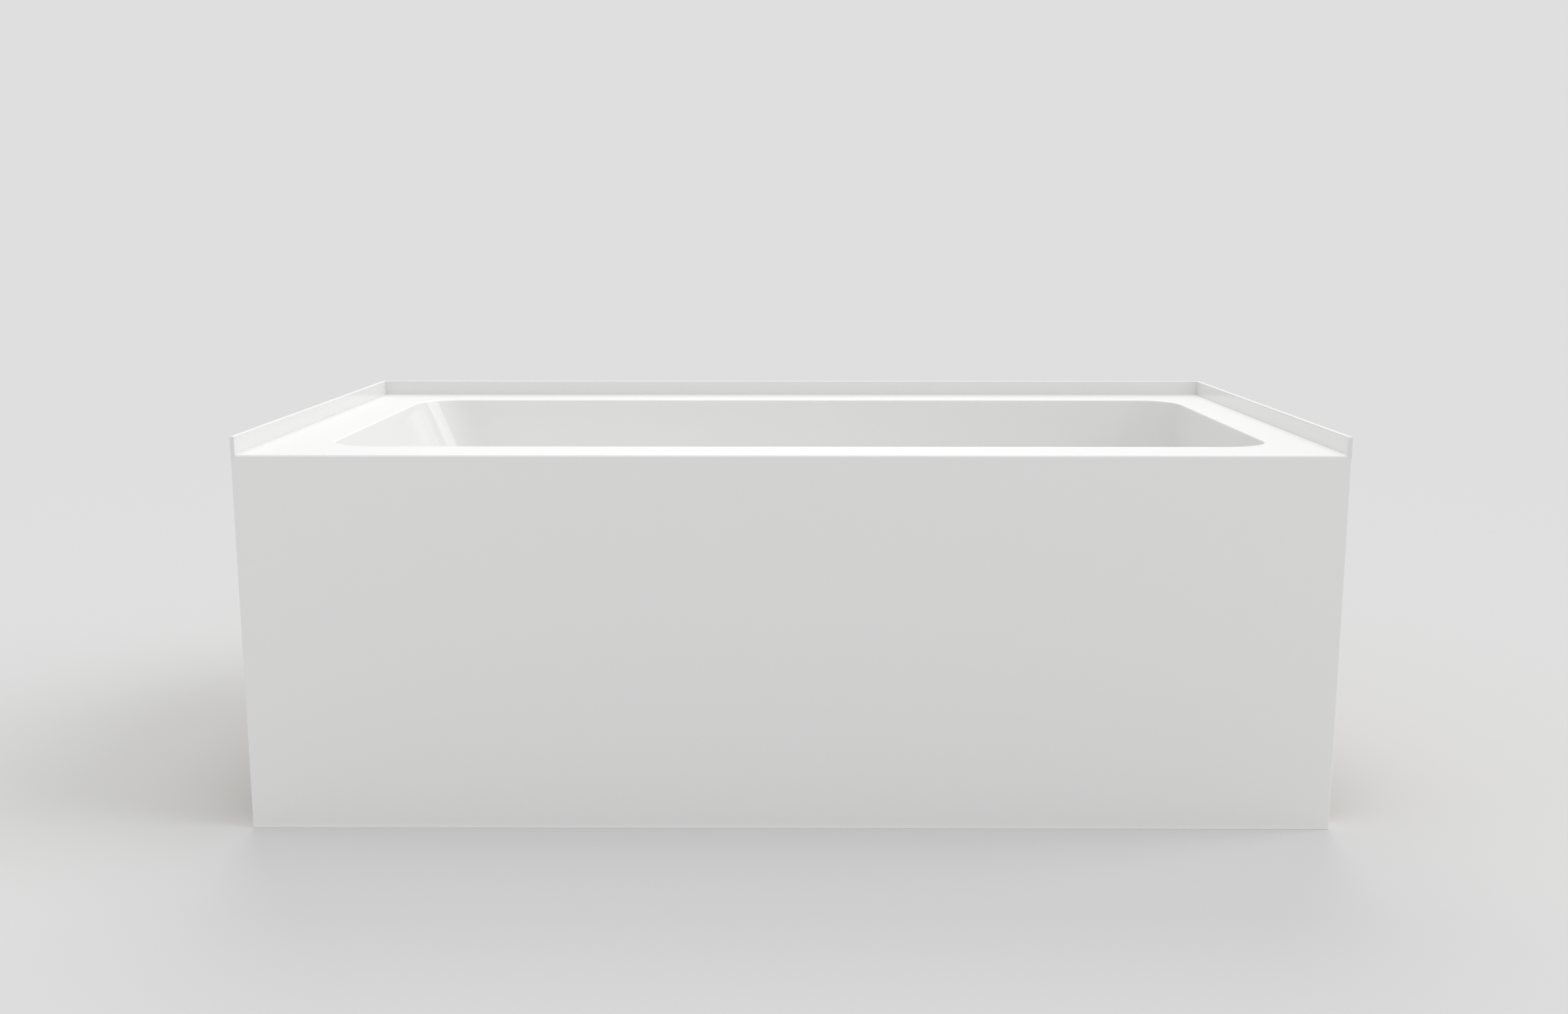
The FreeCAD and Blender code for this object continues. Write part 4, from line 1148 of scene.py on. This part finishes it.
def makeStopper():
    low, high = boxOf("stopper_cap")
    edge, radius, steps = low.z + stopper["capEdge"], stopper["cap"], stopper["domeSteps"]
    outline = [(0, low.z, 0), (radius, low.z, 0.0005), (radius, edge, 0.0011)]
    domeRadius = radius - stopper["domeInset"]
    for share in (1 - step / steps for step in range(1, steps + 1)):
        outline.append((domeRadius * share, edge + stopper["dome"] * (1 - share ** 2), 0))
    standPiece(lathe("stopperCap", outline, 144, 6), "chrome", "stopper_cap")

    low, high = boxOf("stopper_barrel")
    outer, bore, edge = stopper["barrel"], stopper["barrelBore"], stopper["grooveEdge"]
    outline = [(bore, low.z, 0.0003), (outer, low.z, 0.0006)]
    for level in stopper["grooves"]:
        height = low.z + (high.z - low.z) * level
        for depth, rise in zip((0, stopper["groove"], stopper["groove"], 0), stopper["grooveRise"]):
            outline.append((outer - depth, height + rise, edge))
    outline += [(outer, high.z, 0), (bore, high.z, 0)]
    standPiece(lathe("stopperBarrel", outline, 80, 3), "brass", "stopper_barrel")

    low, high = boxOf("stopper_post")
    barTop, thin, post = boxOf("drain_flange")[1].z - drain["barTop"], stopper["postThread"], stopper["post"]
    outline = [(0, low.z, 0), (thin, low.z, 0.0005), (thin, barTop, 0), (post, barTop, 0.0004),
               (post, high.z, 0.0007), (0, high.z, 0)]
    standPiece(lathe("stopperPost", outline, 64, 3), "brass", "stopper_post")

    low, high = boxOf("stopper_seal")
    bore, outer = stopper["sealBore"], stopper["seal"]
    outline = [(bore, low.z, 0.0004), (outer - stopper["sealRim"], low.z, 0.0004),
               (outer, low.z + stopper["sealLift"], 0.0005),
               (outer, high.z, 0.0003), (bore, high.z, 0.0003)]
    standPiece(lathe("stopperSeal", outline, 128, 4), "rubber", "stopper_seal")

    low, high = boxOf("stopper_spring")
    coil, wire, steps = stopper["coil"], stopper["wire"], stopper["coilSteps"] * stopper["turns"]
    rise, path = high.z - low.z - 2 * wire, []
    for share in (step / steps for step in range(steps + 1)):
        angle = math.tau * stopper["turns"] * share
        path.append(Vector((coil * math.cos(angle), coil * math.sin(angle), low.z + wire + rise * share)))
    spring = sweptWire("stopperSpring", path, wire * stopper["wireShare"], 10)
    obj = shade(moved(spring, Matrix.Translation(drainPlace)))
    dressPiece(obj, "spring_steel", "stopper_spring")
    return obj, drainPlace + up * low.z, drainPlace + up * high.z


# a round wire along a path that circles the upright axis
def sweptWire(name, path, radius, sides):
    rows = []
    for i, place in enumerate(path):
        ahead = (path[min(i + 1, len(path) - 1)] - path[max(i - 1, 0)]).normalized()
        outwards = Vector((place.x, place.y, 0)).normalized()
        lift = ahead.cross(outwards).normalized()
        rows.append([place + radius * (outwards * way.x + lift * way.y) for way in circle(sides)])
    return loft(name, rows)


# Waste fittings: moulded bodies with soft inner corners, and a crisp collar round each mouth
waste = {
    "voxel": 0.0011, "smooth": 6, "keep": 0.45, "collar": 0.0230, "bore": 0.0192, "collarLength": 0.004,
    "cup": 0.032, "cupBore": 0.0236, "pipe": 0.01905, "pipeBore": 0.01745, "shoulder": 0.003,
    "shoulderBore": 0.018, "washer": 0.0228,
}


def softMoulding(node):
    obj = pieceFromBm(node + "Moulding", opened(frame["nodes"][node].data))
    remesh = obj.modifiers.new("remesh", "REMESH")
    remesh.mode, remesh.voxel_size = "VOXEL", waste["voxel"]
    soften = obj.modifiers.new("soften", "SMOOTH")
    soften.factor, soften.iterations = 0.5, waste["smooth"]
    obj.modifiers.new("thin", "DECIMATE").ratio = waste["keep"]
    return applyModifiers(obj)


def makeFittings():
    pipeLevel, riser, y = middleOf("waste_pipe").z, middleOf("overflow_riser"), drainMiddle.y
    tee, shoe, elbow = boxOf("waste_tee"), boxOf("drain_shoe"), boxOf("overflow_elbow")
    mouth = (waste["bore"], waste["collar"])
    collars = {
        "waste_tee": [(Vector((tee[0].x, y, pipeLevel)), along, mouth),
                      (Vector((riser.x, y, tee[1].z)), down, mouth),
                      (Vector((riser.x, y, tee[0].z)), up, mouth)],
        "drain_shoe": [(Vector((shoe[1].x, y, pipeLevel)), -along, mouth),
                       (drainPlace + up * shoe[1].z, down, (waste["cupBore"], waste["cup"]))],
        "overflow_elbow": [(Vector((riser.x, y, elbow[0].z)), up, mouth)],
    }
    for node, mouths in collars.items():
        pieces = [softMoulding(node)]
        for place, direction, radii in mouths:
            edges = (0.0004, 0.0008, 0.0008, 0.0002)
            ring = turnedRing(node + "Mouth", *radii, 0, waste["collarLength"], edges, 80, 4)
            pieces.append(moved(ring, facing(direction, place)))
        finishPiece(shade(joined(node + "Body", pieces), 40), "pvc", node)


def makePipes():
    for node, axis in (("waste_pipe", along), ("overflow_riser", up), ("waste_spigot", up)):
        low, high = boxOf(node)
        length = (high - low).dot(axis)
        pieces = [turnedRing(node + "Tube", waste["pipeBore"], waste["pipe"], 0, length, [0.0006] * 4, 64)]
        if node == "waste_spigot":
            top = boxOf("waste_tee")[0].z - low.z
            pieces.append(turnedRing("spigotShoulder", waste["shoulderBore"], waste["collar"],
                                     top - waste["shoulder"], top, [0.0008] * 4, 64))
        start = (low + high) / 2 - axis * (length / 2)
        finishPiece(shade(moved(joined(node + "Pipe", pieces), facing(axis, start))), "pvc", node)


# Slip nuts: round nuts with ribs for the hand
slipNut = {
    "Radius": 0.028, "Length": 0.020, "Ribs": 12, "RibRadius": 0.0018, "Thread": 0.0231, "Bore": 0.0192,
    "Lip": 0.003, "Edge": 0.0012,
}


def slipNutTree():
    tree = Tree("slipNuts", slipNut)
    radius, length, ribs, ribRadius, threadRadius, bore, lip, edge = tree.given(*slipNut)
    half = length * 0.5
    block = tree.cylinder(288, 12, radius, length)
    x, y, z = tree.position()
    level, base = bunched(z, half), radius - ribRadius
    fromRib = y.do("ARCTAN2", x).do("PINGPONG", math.tau / ribs * 0.5) * base / ribRadius
    rib = (1.0 - fromRib * fromRib).do("MAXIMUM", 0.0).do("SQRT") * ribRadius
    ease = (edge - (half - abs(level))).do("MAXIMUM", 0.0)
    block = tree.reshape(block, base + rib - ease * 0.8, level)
    socket = tree.raised(tree.cylinder(96, 1, threadRadius, length), lip * -1.0)
    nut = tree.cut(block, socket, tree.cylinder(96, 1, bore, length * 1.5))
    return tree.close(tree.onPoints(tree.raised(nut, half)))


def makeSlipNuts():
    places, rings = [], []
    names = {"slip_nut_waste": -along, "slip_nut_riser_low": up, "slip_nut_riser_high": down}
    for node, direction in names.items():
        low, high = boxOf(node)
        start, middle = min(low.dot(direction), high.dot(direction)), (low + high) / 2
        places.append((middle + direction * (start - middle.dot(direction)), direction))
    obj = slipNutTree().applyTo(pointsPiece("slipNuts", places), finishes["nut_plastic"])
    finishPiece(shade(obj, 35), "nut_plastic", *names)

    for low, high in spansOf("slip_washers"):
        size = high - low
        axis = along if size.x < size.z else up
        length = size.dot(axis)
        edges = (0.0005, 0.0006, 0.0006, 0.0005)
        ring = turnedRing("washer", waste["bore"], waste["washer"], 0, length, edges)
        rings.append(moved(ring, facing(axis, (low + high) / 2 - axis * (length / 2))))
    finishPiece(shade(joined("slipWashers", rings)), "rubber", "slip_washers")


# Overflow: a wedge of rubber, and a chromed dish over the hole
overflow = {
    "cover": 0.038, "height": 0.011, "wall": 0.002, "edge": 0.005, "slotWidth": 0.036, "slotHeight": 0.009,
    "slotEdge": 0.0022, "screwStep": 0.022, "screwHole": 0.00255, "gasketEdge": 0.0006,
}


def makeOverflow():
    radius, height, wall, edge = (overflow[key] for key in ("cover", "height", "wall", "edge"))
    dish = lathe("coverDish", [
        (0, height - wall, 0), (radius - wall, height - wall, edge - wall), (radius - wall, 0, 0.0003),
        (radius, 0, 0.0005), (radius, height, edge), (0, height, 0)], 160, 9)
    bottom, half, hole = overflowMiddle.z - radius - wall, overflow["slotWidth"] / 2, overflow["screwHole"]
    low = (overflowMiddle.x - 2 * height, drainMiddle.y - half, bottom)
    high = (overflowMiddle.x - wall, drainMiddle.y + half, bottom + overflow["slotHeight"])
    tools = [roundedBlock("slotTool", low, high, overflow["slotEdge"], 4)]
    for side in (-1, 1):
        place = overflowMiddle + across * (side * overflow["screwStep"])
        tool = turnedRing("screwTool", 0, hole, height / 2, 2 * height, steps=40)
        tools.append(moved(tool, facing(-endWallNormal, place)))
    dish = cutAway(moved(dish, facing(-endWallNormal, overflowMiddle)), *tools)
    finishPiece(shade(dish, 35), "chrome", "overflow_cover")
    finishPiece(easedCopy("overflow_gasket", overflow["gasketEdge"], 2), "rubber", "overflow_gasket")


print("tub")
makeTubSkin()
makeSideFlange("tile_flange_left", 1)
rightFlange = makeSideFlange("tile_flange_right", -1)
makeBackFlange()
makeApron()
print("backing")
makeBacking()
print("timber and boards")
makeTimber()
print("cradle")
makeRails()
makeWelds()
makeScrews()
makeFeet(makeNuts())
print("drain and stopper")
makeDrain()
spring, springFoot, springTop = makeStopper()
print("waste pipes")
makeFittings()
makePipes()
makeSlipNuts()
print("overflow")
makeOverflow()


# Stage, light and camera

stage = {
    "floor": 0.675, "backdrop": 0.737, "reflected": 0.72, "skyLight": 0.645, "size": 60, "level": -0.0002,
    "fade": (1.2, 4.0), "touch": 0.01, "lampSpread": 42,
    "camera": (0.0011, -2.5108, 0.8317), "pitch": 9.95, "yaw": 0.2645, "lens": 35.90,
}


def makeFloor():
    half, low, value = stage["size"] / 2, stage["level"], stage["floor"]
    points = [(-half, -half, low), (half, -half, low), (half, half, low), (-half, half, low)]
    floor = pieceFrom("studioFloor", points, [(0, 1, 2, 3)])
    finish = Finish("studioFloor", (value, value, value), 0.95, Specular_IOR_Level=0.0)
    # far off, the floor gives way to the backdrop's even grey
    reach = finish.add("ShaderNodeVectorMath", {0: finish.place}, "Value", operation="LENGTH")
    glow = finish.add("ShaderNodeEmission", {"Strength": stage["backdrop"]})
    surface = Wire(finish, finish.shader.outputs[0])
    surface = finish.add("ShaderNodeMixShader", {0: reach.ramp(*stage["fade"]), 1: surface, 2: glow})
    # the floor is clear from below, and to what stands on it, so that undersides have light
    touching = finish.add("ShaderNodeLightPath", output="Ray Length").do("LESS_THAN", stage["touch"])
    clear = touching.do("MAXIMUM", finish.add("ShaderNodeNewGeometry", output="Backfacing"))
    through = finish.add("ShaderNodeBsdfTransparent")
    surface = finish.add("ShaderNodeMixShader", {0: clear, 1: surface, 2: through})
    finish.feed(finish.tree.nodes["Material Output"].inputs["Surface"], surface)
    floor.data.materials.append(finish.material)


# the sky lights the part, while the camera and glossy surfaces each see a grey of their own
def makeWorld():
    world = bpy.data.worlds.new("studio")
    bpy.context.scene.world = world
    world.use_nodes = True
    graph, sky = Graph(world.node_tree), stage["skyLight"]
    seen = graph.add("ShaderNodeLightPath", output="Is Camera Ray")
    shine = seen.beside("Is Glossy Ray").do("MAXIMUM", seen.beside("Is Transmission Ray"))
    background = graph.tree.nodes["Background"].inputs
    graph.feed(background["Color"], (1, 1, 1))
    strength = seen * (stage["backdrop"] - sky) + shine * (stage["reflected"] - sky) + sky
    graph.feed(background["Strength"], strength)


# each broad lamp's heading round from the right, height in degrees, and strength
lamps = {"rightKey": (0, 41, 0.84), "backFill": (90, 41, 0.82), "topFill": (270, 70, 0.38)}


def makeLamps():
    for name, (heading, height, strength) in lamps.items():
        light = bpy.data.lights.new(name, "SUN")
        light.energy, light.angle = strength, math.radians(stage["lampSpread"])
        lamp = newPiece(name, light)
        lamp.rotation_euler = (0, math.radians(90 - height), math.radians(heading))
        if name == "rightKey":   # the flange beside the key keeps its shadow off the deck
            spared = bpy.data.collections.new("spared")
            spared.objects.link(rightFlange)
            spared.collection_objects[0].light_linking.link_state = "EXCLUDE"
            lamp.light_linking.blocker_collection = spared


def makeCamera():
    camera = bpy.data.cameras.new("camera")
    camera.sensor_fit, camera.sensor_width, camera.lens = "HORIZONTAL", 36, stage["lens"]
    obj = newPiece("camera", camera)
    obj.location = stage["camera"]
    obj.rotation_euler = (math.radians(90 - stage["pitch"]), 0, math.radians(stage["yaw"]))
    bpy.context.scene.camera = obj


print("stage")
makeFloor()
makeWorld()
makeLamps()
makeCamera()
bpy.context.scene.view_settings.view_transform = "Standard"

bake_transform(spring)
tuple(springFoot)
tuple(springTop)
